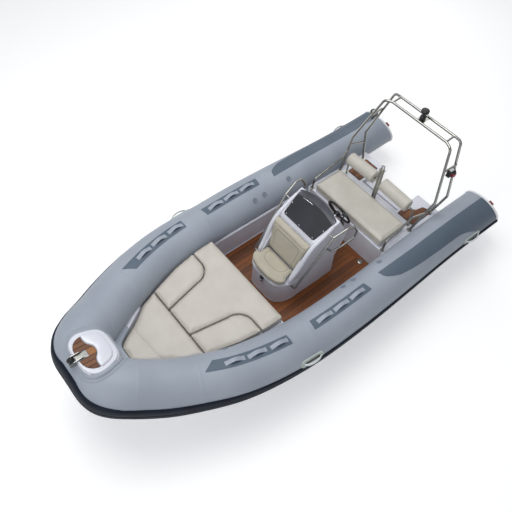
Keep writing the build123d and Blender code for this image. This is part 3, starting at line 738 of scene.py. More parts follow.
def merged_copy(node):
    """Copy of a CAD piece's mesh, opened for edits: points joined and flat faces merged."""
    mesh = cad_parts[node].data.copy()
    work = bmesh.new()
    work.from_mesh(mesh)
    bmesh.ops.remove_doubles(work, verts=work.verts, dist=JOIN_M)
    bmesh.ops.dissolve_limit(work, angle_limit=np.radians(FLAT_DEG), verts=work.verts, edges=work.edges)
    return mesh, work


def softened(node, width_mm, material, name, body="boat", segments=3, angle=30, away=None):
    """Copy of a CAD piece with its hard edges rounded by a bevel, which stands for that piece.
    Where away is given, only edges whose both ends pass that test are rounded."""
    mesh, work = merged_copy(node)
    if away:
        weight = work.edges.layers.float.new("bevel_weight_edge")
        for e in work.edges:
            hard = e.is_manifold and e.calc_face_angle(0) > np.radians(angle)
            if hard and all(away(v.co * 1000) for v in e.verts):
                e[weight] = 1.0
    work.to_mesh(mesh)
    work.free()
    mesh.materials.clear()
    mesh.materials.append(material)
    obj = in_scene(name, mesh)
    bevel = obj.modifiers.new("round edges", "BEVEL")
    bevel.width, bevel.segments, bevel.angle_limit = width_mm / 1000, segments, np.radians(angle)
    bevel.limit_method = "WEIGHT" if away else "ANGLE"
    bevel.use_clamp_overlap = True
    mesh.shade_smooth()
    weighted = obj.modifiers.new("flat faces stay flat", "WEIGHTED_NORMAL")
    weighted.keep_sharp = True
    mesh.set_sharp_from_angle(angle=np.radians(60))
    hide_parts(node)
    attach(obj, body)
    print(f"{name}: {len(mesh.polygons)} faces before its bevel, on {body}")


# %% Hull mouldings
FLOOR_Z, DECK_Z, WALL_Y = 210.0, 562.0, 634.0


def clear_of_collar(p):
    """True where a point in millimetres is well inside the deck, away from the collar's skin."""
    q = np.array(p) - DATUM
    c = middle_line(dense)
    return np.linalg.norm(c * [1, np.sign(q[1]) or 1, 1] - q, axis=1).min() > TUBE_R + 14


softened("hull", 9, GELCOAT, "deck_and_hull_moulding", away=clear_of_collar)

# %% [markdown]
# ## The bottom
# The bottom is a deep V with a flat pad, a hard chine and two spray rails a side. Cross
# sections are given at seven places; a batten along each corner of the section gives the
# sections between them, so the bottom is one fair surface.

# %% Bottom skin
TRANSOM_X, SKIN_TOP = -1760.0, 560.0
SECTIONS = np.array([  # x, keel z, pad half width, inner chine y z, outer chine y z, top half width
    (TRANSOM_X, 0, 85, 600, 148, 668, 160, 700), (0, 0, 85, 605, 150, 672, 162, 704),
    (700, 0, 80, 560, 215, 630, 232, 692), (1250, 45, 58, 430, 340, 500, 362, 560),
    (1700, 185, 38, 270, 480, 330, 505, 400), (2030, 415, 24, 130, 630, 170, 650, 235),
    (2175, 560, 14, 60, 690, 85, 705, 110)], float)
t, fair = batten(SECTIONS)
x, zk, pad, yi, zi, yo, zo, yt = fair(np.linspace(0, t[-1], 120)).T
zk, pad = np.where(x < 700, np.maximum(zk, 0), zk), np.maximum(pad, 10)


def rail_pair(share_low, share_high, drop):
    """Spray rail: a step down and out between two shares of the bottom panel's width."""
    y = [pad + (yi - pad) * k for k in (share_low, share_high, share_high + 0.004)]
    z = [zk + (zi - zk) * k for k in (share_low, share_high, share_high + 0.004)]
    return [(y[0], z[0]), (y[1], z[1] - drop), (y[2], z[2])]


fade = np.clip((1900 - x) / 300, 0, 1) * 16
half = [(pad * 0, zk), (pad, zk)] + rail_pair(0.30, 0.37, fade) + rail_pair(0.62, 0.70, fade)
half += [(yi, zi), (yi + 4, zi - 4), (yo - 4, zo - 4), (yo, zo)]
half += [((yo + yt) / 2, (zo + SKIN_TOP) / 2), (yt - 8, SKIN_TOP)]
# the skin lies 0.8 mm under and 2 mm outside the solid, and its inner face 6 mm above
outer = np.stack([np.stack(np.broadcast_arrays(x, y, z), -1) for y, z in half], 1) + [0, 2.0, -0.8]
lower = np.concatenate([(outer * [1, -1, 1])[:, ::-1], outer[:, 1:]], 1)
upper = lower * [1, 0.985, 1] + [0, 0, 6.0]
lower[..., 2] = np.maximum(lower[..., 2], 0.0)
make("bottom_skin", slab(lower, upper), GELCOAT, sharp=25)

# %% [markdown]
# ## Planked decks
# A planked deck is a black rubber bed with boards on it. A board is the strip between two
# values of y, and where the deck has a curved edge its ends follow that edge. Each board
# carries its own tone.

# %% Boards
BOARD_T = 2.0


def boards(fore_edge, aft_edge, y_edges, z, gap=4.0, columns=5, seed=1, tone=None):
    """Slabs between neighbouring y_edges, from aft_edge(y) to fore_edge(y), gap apart. Their
    outer edges lie 0.6 mm lower, as a sanded edge does."""
    if tone is None:
        tone = np.random.default_rng(seed).uniform(-0.12, 0.16, len(y_edges))
    edge = np.array([1.0] + [0.0] * (columns - 2) + [1.0])
    u = np.array([0, 0.5, 1])[:, None]
    out = []
    for k, (y0, y1) in enumerate(zip(y_edges[:-1], y_edges[1:])):
        y = np.linspace(y0 + gap / 2, y1 - gap / 2, columns)
        lo, hi = aft_edge(y) + gap / 2, fore_edge(y) - gap / 2
        if (hi - lo).min() < 6:
            continue
        top = np.stack([lo + (hi - lo) * u, np.broadcast_to(y, (3, columns)), np.full((3, columns), z)], -1)
        low = top - [0, 0, BOARD_T]
        out += slab(top - UP * edge[:, None] * 0.6, low, tone=float(tone[k]))
    return out


def constant(value):
    """An edge that lies at the same x for every y."""
    return lambda y: np.full_like(np.asarray(y, float), value)


print("two neighbouring boards are", len(boards(constant(300), constant(0), [0, 50, 100], 0)), "sheets")

# %% Cockpit sole
# A border plank runs all round, inside it twenty boards lie fore and aft.
SOLE_AFT, SOLE_FORE, MARGIN = -1056.0, 430.0, 62.0
FIELD_Y = WALL_Y - MARGIN
corners = [(SOLE_AFT + 0.5, -WALL_Y + 0.5), (SOLE_AFT + 0.5, WALL_Y - 0.5),
           (SOLE_FORE - 0.5, WALL_Y - 0.5), (SOLE_FORE - 0.5, -WALL_Y + 0.5)]
parts = [capped([[(x, y, z) for x, y in corners] for z in (FLOOR_Z - 8, FLOOR_Z - 1.6)], mat=1)]
strips = np.arange(-FIELD_Y, FIELD_Y + 1, 2 * FIELD_Y / 20)
side_y = np.array([-WALL_Y + 2, -FIELD_Y])
for fore, aft, edges, seed in (
        (SOLE_FORE - MARGIN, SOLE_AFT + MARGIN, strips, 3),
        (SOLE_FORE - 2, SOLE_AFT + 2, side_y, 5),
        (SOLE_FORE - 2, SOLE_AFT + 2, -side_y[::-1], 6),
        (SOLE_AFT + MARGIN, SOLE_AFT + 2, np.array([-FIELD_Y, FIELD_Y]), 7),
        (SOLE_FORE - 2, SOLE_FORE - MARGIN, np.array([-FIELD_Y, FIELD_Y]), 8)):
    parts += boards(constant(fore), constant(aft), edges, FLOOR_Z, seed=seed)
make("cockpit_sole_planked", parts, [SOLE_TEAK, CAULK], stands_for=["sole"])

# %% Stern pads
# (y, x) along each pad's aft edge, from its inner side to its outer one.
PAD_FORE = -1620
PAD_AFT = {"port": [(318, -1735), (372, -1785), (424, -1832), (446, -1926), (500, -1950), (562, -1938)],
           "stbd": [(312, -1950), (512, -1950)]}
for side, word in SIDES:
    pad_y, pad_aft = np.array(PAD_AFT[word], float).T
    y0, y1 = sorted((side * pad_y[0], side * pad_y[-1]))
    outline = rounded([(PAD_FORE, y0), (PAD_FORE, y1)] + list(zip(pad_aft, side * pad_y))[::-side], 14)
    parts = [moulding(outline, [(1, DECK_Z), (0, DECK_Z + 4.5), (1, DECK_Z + 5)], mat=1)]
    parts += boards(constant(PAD_FORE - 4), lambda y: np.interp(np.abs(y), pad_y, pad_aft) + 4,
                    np.linspace(y0 + 3, y1 - 3, 5), DECK_Z + 7, seed=11 + side)
    make(f"stern_pad_planked_{word}", parts, [STEP_TEAK, CAULK], stands_for=[f"stern_pad_{word}"])

# %% [markdown]
# ## Bow step
# A white moulded step lies over the tube at the bow and climbs a little forward. It stands
# on a grey rubber foot in two tiers, glued to the tube. Its aft half is a raised pad with an
# S-shaped front edge; in front of that lies a planked inlay with a slot for the anchor
# roller's bracket. Heights are counted from the sloping top.

# %% The sloping top and the tube under it
STEP_Z, STEP_X, STEP_RISE = 1235.0, 2180.0, 0.22
bow_line = middle_line(np.linspace(HALF - 1300, HALF + 1300, 700))


def step_top(x):
    """Height of the sloping top: level at STEP_X plus 0.22 for each millimetre ahead of it."""
    return STEP_Z + STEP_RISE * (x - STEP_X)


def tube_top(plan):
    """Height of the collar over a plan point: the highest of the balls along the middle line."""
    d2 = ((plan[..., None, :] - bow_line[:, :2]) ** 2).sum(-1)
    z = bow_line[:, 2] + np.sqrt(np.clip(TUBE_R_BOW**2 - d2, 0, None))
    return np.where(d2 < TUBE_R_BOW**2, z, 700.0).max(-1)


def climbed(sheets):
    """Raises sheets that were drawn over a flat zero to the sloping top."""
    for s in sheets:
        s["points"][..., 2] += step_top(s["points"][..., 0])
    return sheets


clear = step_top(STEP_X) - float(tube_top(np.array([STEP_X, 0.0])))
print("the step's top lies", round(clear, 1), "mm over the tube")

# %% Step and foot
# The step's edge as (inset, how far below the top): the rows more than 15 mm down stay just
# above the tube. The foot as (inset, height over the tube, share of the room up to the step).
STEP_PLAN = both_sides([(2272, 60), (2267, 120), (2247, 168), (2213, 202), (2165, 217), (2110, 216),
                        (2050, 197), (2000, 178), (1966, 148), (1950, 100), (1946, 50)])
STEP_EDGE = [(-8, 46), (-9, 30), (-8.5, 27), (-7, 25.5), (-2, 24), (-0.5, 22), (0, 18), (0, 9), (1.2, 5),
             (4, 1.8), (8, 0.2), (14, 0), (60, 0)]
FOOT_EDGE = [(-58, -3, 0), (-58, 2.5, 0), (-54, 5, 0), (-36, 7, 0), (-33, 9, 0), (-31, 20, 0.1),
             (-26, 26, 0.15), (-9, 28, 0.2), (-4, 28, 0.2)]
plan = eased(evened(rounded(STEP_PLAN, 45), 8), 3)
ground = tube_top(plan) + 12
rows = [at_height(inset(plan, -7), ground - 14), at_height(inset(plan, -7), ground)]
for d, drop in STEP_EDGE:
    row = inset(plan, d)
    floor_z = ground + 1 if drop > 15 else -1e9
    rows.append(at_height(row, np.maximum(step_top(row[:, 0]) - drop, floor_z)))
step = capped(np.stack(rows))
rows = []
for d, above, share in FOOT_EDGE:
    outline = inset(plan, d)
    tube = tube_top(outline)
    room = np.clip(step_top(plan[:, 0]) - 60 - tube, 0, None)
    rows.append(at_height(outline, tube + above + share * room))
foot = capped(np.stack(rows), mat=1)

# the raised pad: its plan ends ahead in the S edge, its side is a profile of (inset, height)
S_EDGE = [(2086, 0), (2087, 14), (2093, 34), (2106, 56), (2125, 77), (2134, 100), (2138, 125), (2138, 150),
          (2134, 172)]
RAISED_EDGE = [(-5, -1), (-4.5, 0.4), (-2.5, 2.4), (0, 7), (2, 12), (4.5, 15.5), (8, 17.3), (12, 18)]
pad_plan = [(1982, 40), (1989, 96), (2012, 136), (2050, 158), (2100, 172), (2126, 180)] + S_EDGE[:0:-1]
pad = eased(evened(rounded(both_sides(pad_plan), 26), 6), 2)
make("bow_step_moulded", [step] + climbed([moulding(pad, RAISED_EDGE)]), GELCOAT, stands_for=["bow_step"],
     sharp=50)
make("bow_step_foot", [foot], GREY_FABRIC, sharp=50)

# %% Planked inlay
# Its fore edge is an arc of (x, y), with a slot 76 mm wide for the roller's bracket.
FRONT_ARC = np.array([(2257, 0), (2257, 37), (2252, 78), (2240, 110), (2222, 136), (2198, 156), (2166, 168),
                      (2150, 171)], float)
SLOT_X, SLOT_HALF = 2166, 38
INLAY_Y = np.array([-169, -126, -82, -38, 38, 82, 126, 169])
s_edge = np.array(S_EDGE, float)


def inlay_aft(y):
    """The S edge, 4 mm ahead of the raised pad."""
    return np.interp(np.abs(y), s_edge[:, 1], s_edge[:, 0]) + 4


def inlay_fore(y):
    """The front arc, cut back to the slot's end near the middle."""
    arc = np.interp(np.abs(y), FRONT_ARC[:, 1], FRONT_ARC[:, 0])
    return np.where(np.abs(y) < SLOT_HALF, SLOT_X, arc)


bed_y = np.linspace(-170, 170, 92)
bed_ends = [np.column_stack([end(bed_y), bed_y]) for end in (inlay_aft, inlay_fore)]
bed_top, bed_foot = (np.stack([at_height(end, z) for end in bed_ends]) for z in (4.0, -1))
planks = boards(inlay_fore, inlay_aft, INLAY_Y, 6.0, gap=6, columns=13,
                tone=[-0.1, 0.02, -0.06, 0.3, -0.02, 0.05, -0.12])
make("bow_step_planked", climbed(slab(bed_top, bed_foot, mat=1) + planks), [STEP_TEAK, CAULK],
     stands_for=["bow_step_inlay"])

# %% Anchor roller
# A grooved rubber roller on a pin between two bright cheeks: (radius, place across).
AHEAD, PORT = np.array([1.0, 0, 0]), np.array([0, 1.0, 0])
GROOVE = [(6.5, -23.5), (30, -23.5), (32, -20), (31, -14), (24, -4), (22, 0), (24, 4), (31, 14), (32, 20),
          (30, 23.5), (6.5, 23.5)]
roller = turned(GROOVE, np.array([2310.0, 0, 1243]), PORT, AHEAD, 40)
make("bow_roller_grooved", [roller], BLACK_RUBBER, body="bow_roller", stands_for=["bow_roller"])

# %% [markdown]
# ## Small moulded blocks
# Many fittings are a plate or a block with round corners and a round edge. One function
# builds them lying on any surface: a rounded rectangle carried up through a profile, then
# turned so that its length, width and height follow three given directions.

# %% Plate on a surface


def placed(one_sheet, origin, fore, over, out):
    """Turns a sheet drawn on its own x, y, z to the directions fore, over, out at origin."""
    p, origin = one_sheet["points"], np.asarray(origin, float)
    one_sheet["points"] = origin + p[..., :1] * fore + p[..., 1:2] * over + p[..., 2:] * out
    return one_sheet


def plate(origin, fore, over, out, size, corner, edge, mat=0, foot=0.0):
    """Rounded block of size (length, width, height) standing on origin."""
    length, width, height = size
    corners = [(u * length / 2, v * width / 2) for u, v in ((-1, -1), (1, -1), (1, 1), (-1, 1))]
    block = moulding(rounded(corners, corner, 6), block_edges(-foot, height, edge, 0.3), mat)
    return placed(block, origin, fore, over, out)


print("a plate's table is", plate((0, 0, 0), AHEAD, PORT, UP, (50, 30, 5), 4, 1)["points"].shape[:2])

# %% Rods and bows


def heading(line):
    """Unit vectors along a line of points, each taken from the points beside it."""
    return unit(np.gradient(line, axis=0))


def rod(points, radius, n=14, mat=0, closed=False):
    """Tube along points: at each point a circle square to the way the line runs there."""
    P = np.asarray(points, float)
    along = unit(np.roll(P, -1, 0) - np.roll(P, 1, 0)) if closed else heading(P)
    side = unit(np.cross(along, UP) + 1e-6 * AHEAD)
    top = np.cross(side, along)
    a = circle(n)[:, None]
    r = np.broadcast_to(radius, len(P))[:, None, None]
    ring = P[:, None] + r * (np.cos(a) * side[:, None] + np.sin(a) * top[:, None])
    return sheet(ring, wrap=(closed, True), caps=not closed, mat=mat)


def arch_line(a, b, rise, out, n=25):
    """Half an ellipse from a to b that rises by rise."""
    t = np.linspace(0, np.pi, n)[:, None]
    a, b = np.asarray(a, float), np.asarray(b, float)
    return (a + b) / 2 - (b - a) / 2 * np.cos(t) + rise * np.sin(t) * out


print("a bow 100 mm wide and 30 mm high is",
      round(line_lengths(arch_line((0, 0, 0), (100, 0, 0), 30, UP))[-1]), "mm long")

# %% Outer grab handles
# An oval base plate glued to the tube, with a thick bar that a hand goes round and a screw
# at each end.
HANDLE = patterned("moulded_handle_grey_green", "#B6C0BB", 0.42, ("#AFB9B4", "#BDC7C2", 60))
HANDLE_BAR = patterned("moulded_handle_bar_pale", "#DCE2E2", 0.35, bump=(3.0, 0.1, 0.4))
GRAB_HANDLES = {"fwd": (485, 18), "aft": (-2040, 9)}       # place x, angle on the skin
GRIP_HALF, SCREW_AT = 100, 122
SCREW = [(7, -1), (7, 1), (4.5, 2), (2, 0.8), (0.2, 0.8)]
t = circle(14)
for key, (x, angle) in GRAB_HANDLES.items():
    for side, word in SIDES:
        o, fore, over, out = frame_on_skin(x, angle, side)
        bar = arch_line(o - GRIP_HALF * fore + 4 * out, o + GRIP_HALF * fore + 4 * out, 40, out)
        oval = 14 * np.cos(t)[:, None] * over + 8 * np.sin(t)[:, None] * out
        parts = [plate(o, fore, over, out, (280, 92, 8), 45, 5, foot=8),
                 plate(o + 8 * out, fore, over, out, (190, 34, 1.2), 16, 1, mat=2),
                 capped(bar[:, None] + oval, mat=1)]
        for end in (-SCREW_AT, SCREW_AT):
            parts.append(turned(SCREW, o + end * fore + 7.8 * out, out, fore, 16, mat=3))
        make(f"grab_handle_{key}_{word}", parts, [HANDLE, HANDLE_BAR, BLACK_RUBBER, STAINLESS],
             stands_for=[f"grab_{key}_{word}"])

# %% Reflector marks on the tube ends
# A strip of moulded prisms, 14 degrees long, pressed into each rim. The two sides were
# fitted at different heights.
AMBER, shader = finish("amber_reflector", "#8A3E2C", 0.25, Coat_Weight=0.5)
grain(AMBER, shader, 4.0, 0.3, 0.6, "ShaderNodeTexVoronoi")
REFLECTOR_AT = {"port": 66, "stbd": 130}
s = np.array([-17.0, -22, -28, -33])[:, None]
for side, word in SIDES:
    a = np.linspace(REFLECTOR_AT[word] - 7, REFLECTOR_AT[word] + 7, 7)
    make(f"reflector_{word}", slab(skin(s, a, 14.0, side), skin(s, a, -30.0, side)), AMBER)

# %% [markdown]
# ## Stuffed pads
# A pad is foam pushed into a sewn cover that is a little too small. Its faces swell, its
# edges stay where the seams hold them, and small puckers run in from the seams. Each pad
# starts as a copy of its solid, divided evenly, and is blown up as cloth. How far a point
# may go is held softly: cap times tanh of the way over cap.

# %% Evenly divided copy of a solid


def evaluated_mesh(obj):
    """New mesh of an object as its modifiers leave it."""
    return bpy.data.meshes.new_from_object(obj.evaluated_get(bpy.context.evaluated_depsgraph_get()))


def even_copy(node, voxel, shrink, edge):
    """Copy of a solid with rounded edges, remade of even faces about voxel wide and pulled in."""
    mesh, work = merged_copy(node)
    bmesh.ops.recalc_face_normals(work, faces=work.faces)
    work.to_mesh(mesh)
    work.free()
    obj = in_scene("base", mesh)
    bevel = obj.modifiers.new("edge", "BEVEL")
    bevel.width, bevel.segments, bevel.angle_limit = edge / 1000, 3, np.radians(40)
    bevel.limit_method = "ANGLE"
    remesh = obj.modifiers.new("even", "REMESH")
    remesh.mode, remesh.voxel_size = "VOXEL", voxel / 1000
    pull = obj.modifiers.new("pull in", "DISPLACE")
    pull.mid_level, pull.strength = 0.0, -shrink / 1000
    bpy.context.view_layer.update()
    even = evaluated_mesh(obj)
    bpy.data.objects.remove(obj)
    return even


def coordinates(mesh):
    """Vertex places of a mesh as an n by 3 array in metres."""
    co = np.empty(len(mesh.vertices) * 3, np.float32)
    mesh.vertices.foreach_get("co", co)
    return co.reshape(-1, 3).astype(float)


def set_coordinates(mesh, co):
    """Puts an n by 3 array of metres back into the mesh."""
    mesh.vertices.foreach_set("co", np.ascontiguousarray(co, np.float32).ravel())
    mesh.update()


# %% Blowing a pad up
FRAMES, PRESSURE, COVER_KG, STIFF, BENDING = 20, 4.0, 0.3, 8, 0.5


def stuffed(node, name, material, *, voxel, cap, pinned, shrink, edge, body="boat", reshape=None):
    """A pad from its solid: cloth under pressure, with its way held softly to cap millimetres.
    Points for which pinned(points in drawing mm) is true stay where they are. Where reshape is
    given, it moves the points in drawing mm before the pad is blown up."""
    mesh = even_copy(node, voxel, shrink, edge)
    if reshape:
        set_coordinates(mesh, to_scene(reshape(coordinates(mesh) * 1000 - DATUM)))
    obj = in_scene(name, mesh)
    rest = coordinates(mesh)
    hold = pinned(rest * 1000 - DATUM)
    group = obj.vertex_groups.new(name="held")
    group.add(np.flatnonzero(hold).tolist(), 1.0, "REPLACE")
    cloth = obj.modifiers.new("cover", "CLOTH")
    setting = cloth.settings
    setting.quality, setting.mass = 3, COVER_KG
    setting.use_pressure, setting.uniform_pressure_force = True, PRESSURE
    setting.tension_stiffness = setting.compression_stiffness = STIFF
    setting.bending_stiffness = BENDING
    setting.vertex_group_mass = "held"
    setting.effector_weights.gravity = 0.0
    cloth.collision_settings.use_collision = False
    for k in range(1, FRAMES + 1):
        scene.frame_set(k)
    blown = evaluated_mesh(obj)
    way = (coordinates(blown) - rest) * 1000
    bpy.data.meshes.remove(blown)
    obj.modifiers.remove(cloth)
    obj.vertex_groups.clear()
    scene.frame_set(1)
    cap = np.array(cap, float)
    set_coordinates(mesh, rest + cap * np.tanh(way / cap) / 1000)
    mesh.materials.clear()
    mesh.materials.append(material)
    mesh.shade_smooth()
    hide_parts(node)
    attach(obj, body)
    print(f"{name}: {len(mesh.polygons)} faces on {body}, {hold.sum()} points held")
    return obj


# %% Seams pressed into a pad


def near_line(co, line):
    """Distance in mm from each point to the nearest sample of a line, 64 samples at a time."""
    best = np.full(len(co), 1e9)
    for k in range(0, len(line), 64):
        d = ((co[:, None] - line[None, k:k + 64]) ** 2).sum(-1)
        best = np.minimum(best, d.min(1))
    return np.sqrt(best)


PUCKER_MM = 34


def pressed(obj, line, depth, width, direction):
    """Sewn groove: points move against direction by depth times exp of -(distance / width) squared.
    Beside it, waves of one pucker's length pull the cover into small puckers."""
    co = coordinates(obj.data) * 1000 - DATUM
    d = near_line(co, line)
    pull = depth * np.exp(-(d / width) ** 2)
    wave = 0.16 * depth * np.exp(-(d / (3.2 * width)) ** 2)
    wave *= np.sin(co @ np.array([1.0, 1.3, 0.4]) * 2 * np.pi / PUCKER_MM)
    set_coordinates(obj.data, (co - (pull + wave)[:, None] * direction + DATUM) / 1000)


print("a groove is down to a tenth at", round(float(np.sqrt(np.log(10))), 2), "of its width")

# %% Piping laid on a pad


def along_line(points, step=5.0, closed=False):
    """Samples every step mm along straight runs through points."""
    P = np.array(list(points) + ([points[0]] if closed else []), float)
    t = line_lengths(P)
    q = np.arange(0, t[-1], step)
    return np.stack([np.interp(q, t, P[:, k]) for k in range(3)], -1)


def finer(obj):
    """One Catmull-Clark subdivision, the same in the view and in the render."""
    modifier = obj.modifiers.new("finer", "SUBSURF")
    modifier.levels = modifier.render_levels = 1


def welt(name, path, host, radius, material, body="boat", sink=0.5, closed=True):
    """Piping: a thin tube on a host pad. Each point goes to the pad's nearest place, less sink."""
    tree = BVHTree.FromObject(host, bpy.context.evaluated_depsgraph_get())
    line = along_line(path, 7.0, closed)
    snapped = [tree.find_nearest(Vector(p))[:2] for p in to_scene(line)]
    on = np.array([tuple(p) for p, n in snapped]) * 1000 - DATUM
    out = np.array([tuple(n) for p, n in snapped])
    for _ in range(3):
        if closed:
            on = 0.5 * on + 0.25 * (np.roll(on, 1, 0) + np.roll(on, -1, 0))
        else:
            on[1:-1] = 0.5 * on[1:-1] + 0.25 * (on[2:] + on[:-2])
    line = on + out * (radius - sink)
    return make(name, [rod(line, radius, 10, closed=closed)], material, body=body, sharp=None)


# %% [markdown]
# ## Bow cushions
# Four cushions fill the bow: two at the sides with round inner ends, one in the middle and
# one in front, whose nose is folded up along a crease. They are sewn of smooth cream
# vinyl, with piping round the top edge.

# %% Plans of the four cushions
BOW_Z, BOW_TOP = 650.0, 735.0
JOIN_X, CREASE_X, NOSE_X, NOSE_RISE = 1268.0, 1636.0, 1853, 34.0


def on_foot(z):
    """Test for points that rest on the deck below height z."""
    return lambda p: p[:, 2] < z


def arc3(a, b, c):
    """Circle arc of 14 points through three plan points, by solving for its centre."""
    a, b, c = (np.array(q, float) for q in (a, b, c))
    m = np.linalg.solve(2 * np.array([b - a, c - a]), np.array([b @ b - a @ a, c @ c - a @ a]))
    t = np.unwrap([np.arctan2(*(q - m)[::-1]) for q in (a, b, c)])
    q = np.linspace(t[0], t[2], 14)
    return m + np.linalg.norm(a - m) * np.stack([np.cos(q), np.sin(q)], -1)


round_end = arc3((860, 252), (740, 300), (686, 440))[::-1]
SIDE_PLAN = np.vstack([[(JOIN_X, 176), (JOIN_X, 440), (935, 538), (689, 576)], round_end])
CENTRE_PLAN = both_sides(np.vstack([[(426, 590), (684, 578)], round_end, [(JOIN_X, 172)]]))
FRONT_PLAN = both_sides([(JOIN_X + 3, 436), (1440, 378), (1557, 288), (1681, 212), (1759, 167), (1828, 120),
                         (1850, 84), (NOSE_X, 45)])
CUSHION_PLANS = {"cushion_centre": CENTRE_PLAN, "cushion_front": FRONT_PLAN, "cushion_port": SIDE_PLAN,
                 "cushion_stbd": SIDE_PLAN * [1, -1]}
print("length and width", {key: np.ptp(plan, axis=0).round().tolist() for key, plan in CUSHION_PLANS.items()})

# %% Four cushions
CREASE = [(x, y, 737) for x, y in (
    (1648, -243), (1650, -170), (1638, -67), (1632, 44), (1623, 148), (1616, 245))]


def bow_top(plan, lift=0.0):
    """Height of the bow cushions' tops: level, then rising 34 mm ahead of the crease."""
    return BOW_TOP + lift + NOSE_RISE * np.clip((plan[:, 0] - CREASE_X) / (NOSE_X - CREASE_X), 0, 1)


for node, plan in CUSHION_PLANS.items():
    pad = stuffed(node, f"bow_{node}", BOW_VINYL, voxel=12.0, cap=(3.0, 3.0, 12.0),
                  pinned=on_foot(BOW_Z + 22), shrink=3.5, edge=16)
    if node == "cushion_front":
        crease = along_line(CREASE)
        pressed(pad, crease, 9.0, 15.0, UP)
    finer(pad)
    edge = evened(rounded(plan, 22), 12)
    line = at_height(inset(edge, 4.5), bow_top(edge, -4))
    welt(f"{node}_piping", line, pad, 3.0, PIPING)
    if node == "cushion_front":
        welt("cushion_front_crease", crease + [0, 0, 8], pad, 1.8, PIPING, closed=False, sink=0.4)

# %% [markdown]
# ## Console
# The console is one fibreglass moulding: a jockey seat in front, two wide rounded arms that
# run up beside its back rest, and a dash behind. The copy of the solid gets a large edge
# radius. A rim runs round the front under the seat, and a latch holds the seat down.

# %% Console moulding
# The arms' edge is a batten of (x, y, z) on the port side. A rod with ends that run out
# gives it a rounder roll than the bevel alone.
ARM_ROUND = 17
ARM_EDGE = [(59, 265, 560), (37, 269, 600), (-41, 282, 732), (-227, 290, 1046), (-281, 292, 1077),
            (-486, 292, 1196)]
softened("console", ARM_ROUND, GELCOAT, "console_moulding", segments=4, angle=28)
t_arm, arm_at = batten(ARM_EDGE)
t = np.linspace(0, 1, 60)
line = arm_at(t * t_arm[-1])
along = heading(line)
line -= ARM_ROUND * np.stack([along[:, 2], 0 * t, -along[:, 0]], 1) + [0, ARM_ROUND, 0]
roll = 25 * np.clip(1 - (2 * t - 1) ** 12, 0.05, 1) ** 0.5
make("console_arm_rolls", [rod(line * [1, side, 1], roll, 20) for side in (1, -1)], GELCOAT)

# %% Seat rim and front skirt
# Both follow one batten round the front of the console, (x, y) of its port half. The skirt
# is given as (height, how far out).
RIM_Z = 551.0
RIM_PLAN = both_sides([(-72, 285), (60, 265), (130, 229), (178, 177), (195, 107), (197, 50)])
SKIRT = [(545, 1.5), (470, 2.5), (380, 2.5), (300, 2.0), (250, 0.5), (225, 1.5), (211, 4.0)]
t_rim, rim_at = batten(at_height(RIM_PLAN, RIM_Z))
line = rim_at(np.linspace(0, t_rim[-1], 70))
across = np.cross(heading(line), UP)
outward = unit(across) * np.sign((across * (line - [0, 0, RIM_Z])).sum(1).mean())
skirt = np.stack([at_height((line + (out - 4) * outward)[:, :2], z) for z, out in SKIRT])
make("console_front_skirt", slab(skirt, skirt - 5 * outward), GELCOAT, sharp=50)
a = circle(14)
bead = line[:, None] + (5 * np.cos(a))[:, None] * outward[:, None] + (9 * np.sin(a))[:, None] * UP
make("console_seat_rim", [capped(bead)], GELCOAT)

# %% Latch and lid
# The latch is four blocks on the front: x, z, size, corner, edge, finish, foot.
LATCH = [(202, 516, (50, 42, 9), 9, 3, 0, 12), (210, 516, (30, 28, 9), 8, 4, 1, 0),
         (206, 466, (42, 52, 9), 9, 3, 2, 16), (214, 476, (20, 34, 8), 6, 3, 2, 0)]
parts = [plate((x, 4, z), PORT, UP, AHEAD, size, corner, edge, mat=mat, foot=foot)
         for x, z, size, corner, edge, mat, foot in LATCH]
make("seat_latch", parts, [BLACK_PLASTIC, BLACK_RUBBER, SILVER_PLASTIC])
softened("console_lid", 4, GELCOAT, "console_lid_moulded", body="console_hatch")

# %% Dash panel with three round gauges
# The dash slopes back from the screen. Each gauge is a turned bezel over a dark glass, and
# four switches stand in a row below.
DASH = unit(np.array([-320.0, 0, 177]))
DASH_UP = unit(np.array([177.0, 0, 320]))
DASH_MIDDLE = np.array([-633.5, 0, 1045.0])
BEZEL = [(40, -1), (40, 4), (38, 6), (34, 6), (33, 3), (0.3, 3)]
GAUGE_GLASS = [(32, 2), (32, 3.6), (0.3, 4.2)]
panel_at = DASH_MIDDLE + 40 * DASH_UP
parts = [plate(panel_at, PORT, DASH_UP, DASH, (400, 130, 4), 20, 2, foot=3)]
for y in (-125, 0, 125):
    o = panel_at + y * PORT + 4 * DASH
    parts.append(turned(BEZEL, o, DASH, PORT, mat=1))
    parts.append(turned(GAUGE_GLASS, o, DASH, PORT, mat=2))
for y in (-70, -35, 35, 70):
    o = DASH_MIDDLE - 62 * DASH_UP + y * PORT
    parts.append(plate(o, PORT, DASH_UP, DASH, (20, 30, 6), 3, 1.5, mat=3, foot=3))
make("dash_panel", parts, [SMOKED, SILVER_PLASTIC, BLACK_PLASTIC, BLACK_RUBBER])

# %% [markdown]
# ## Screen
# A smoked acrylic screen lies on the slope between the arms. It is slightly crowned, its
# rear edge is bent up and painted a lighter grey there as a painted sky reflection, and dome
# screws hold it down. A point is given by how far up the slope it is and by y.

# %% Smoked screen
SLOPE = unit(np.array([-259.0, 0, 150]))
SLOPE_OUT = unit(np.array([150.0, 0, 259]))
SCREEN_FOOT = np.array([-246.0, 0, 1047.0])
SCREEN_TOP, SCREEN_BACK, BEND_FROM, CORNER = 8.0, 1.0, 275, 22
FOOT_UP, SIDE_UP, TOP_BOW = 8, 320, 50        # its foot, its top at the sides, and how far that bows up
FOOT_HALF, TOP_HALF = 229, 271                # half its width at the foot and at the top


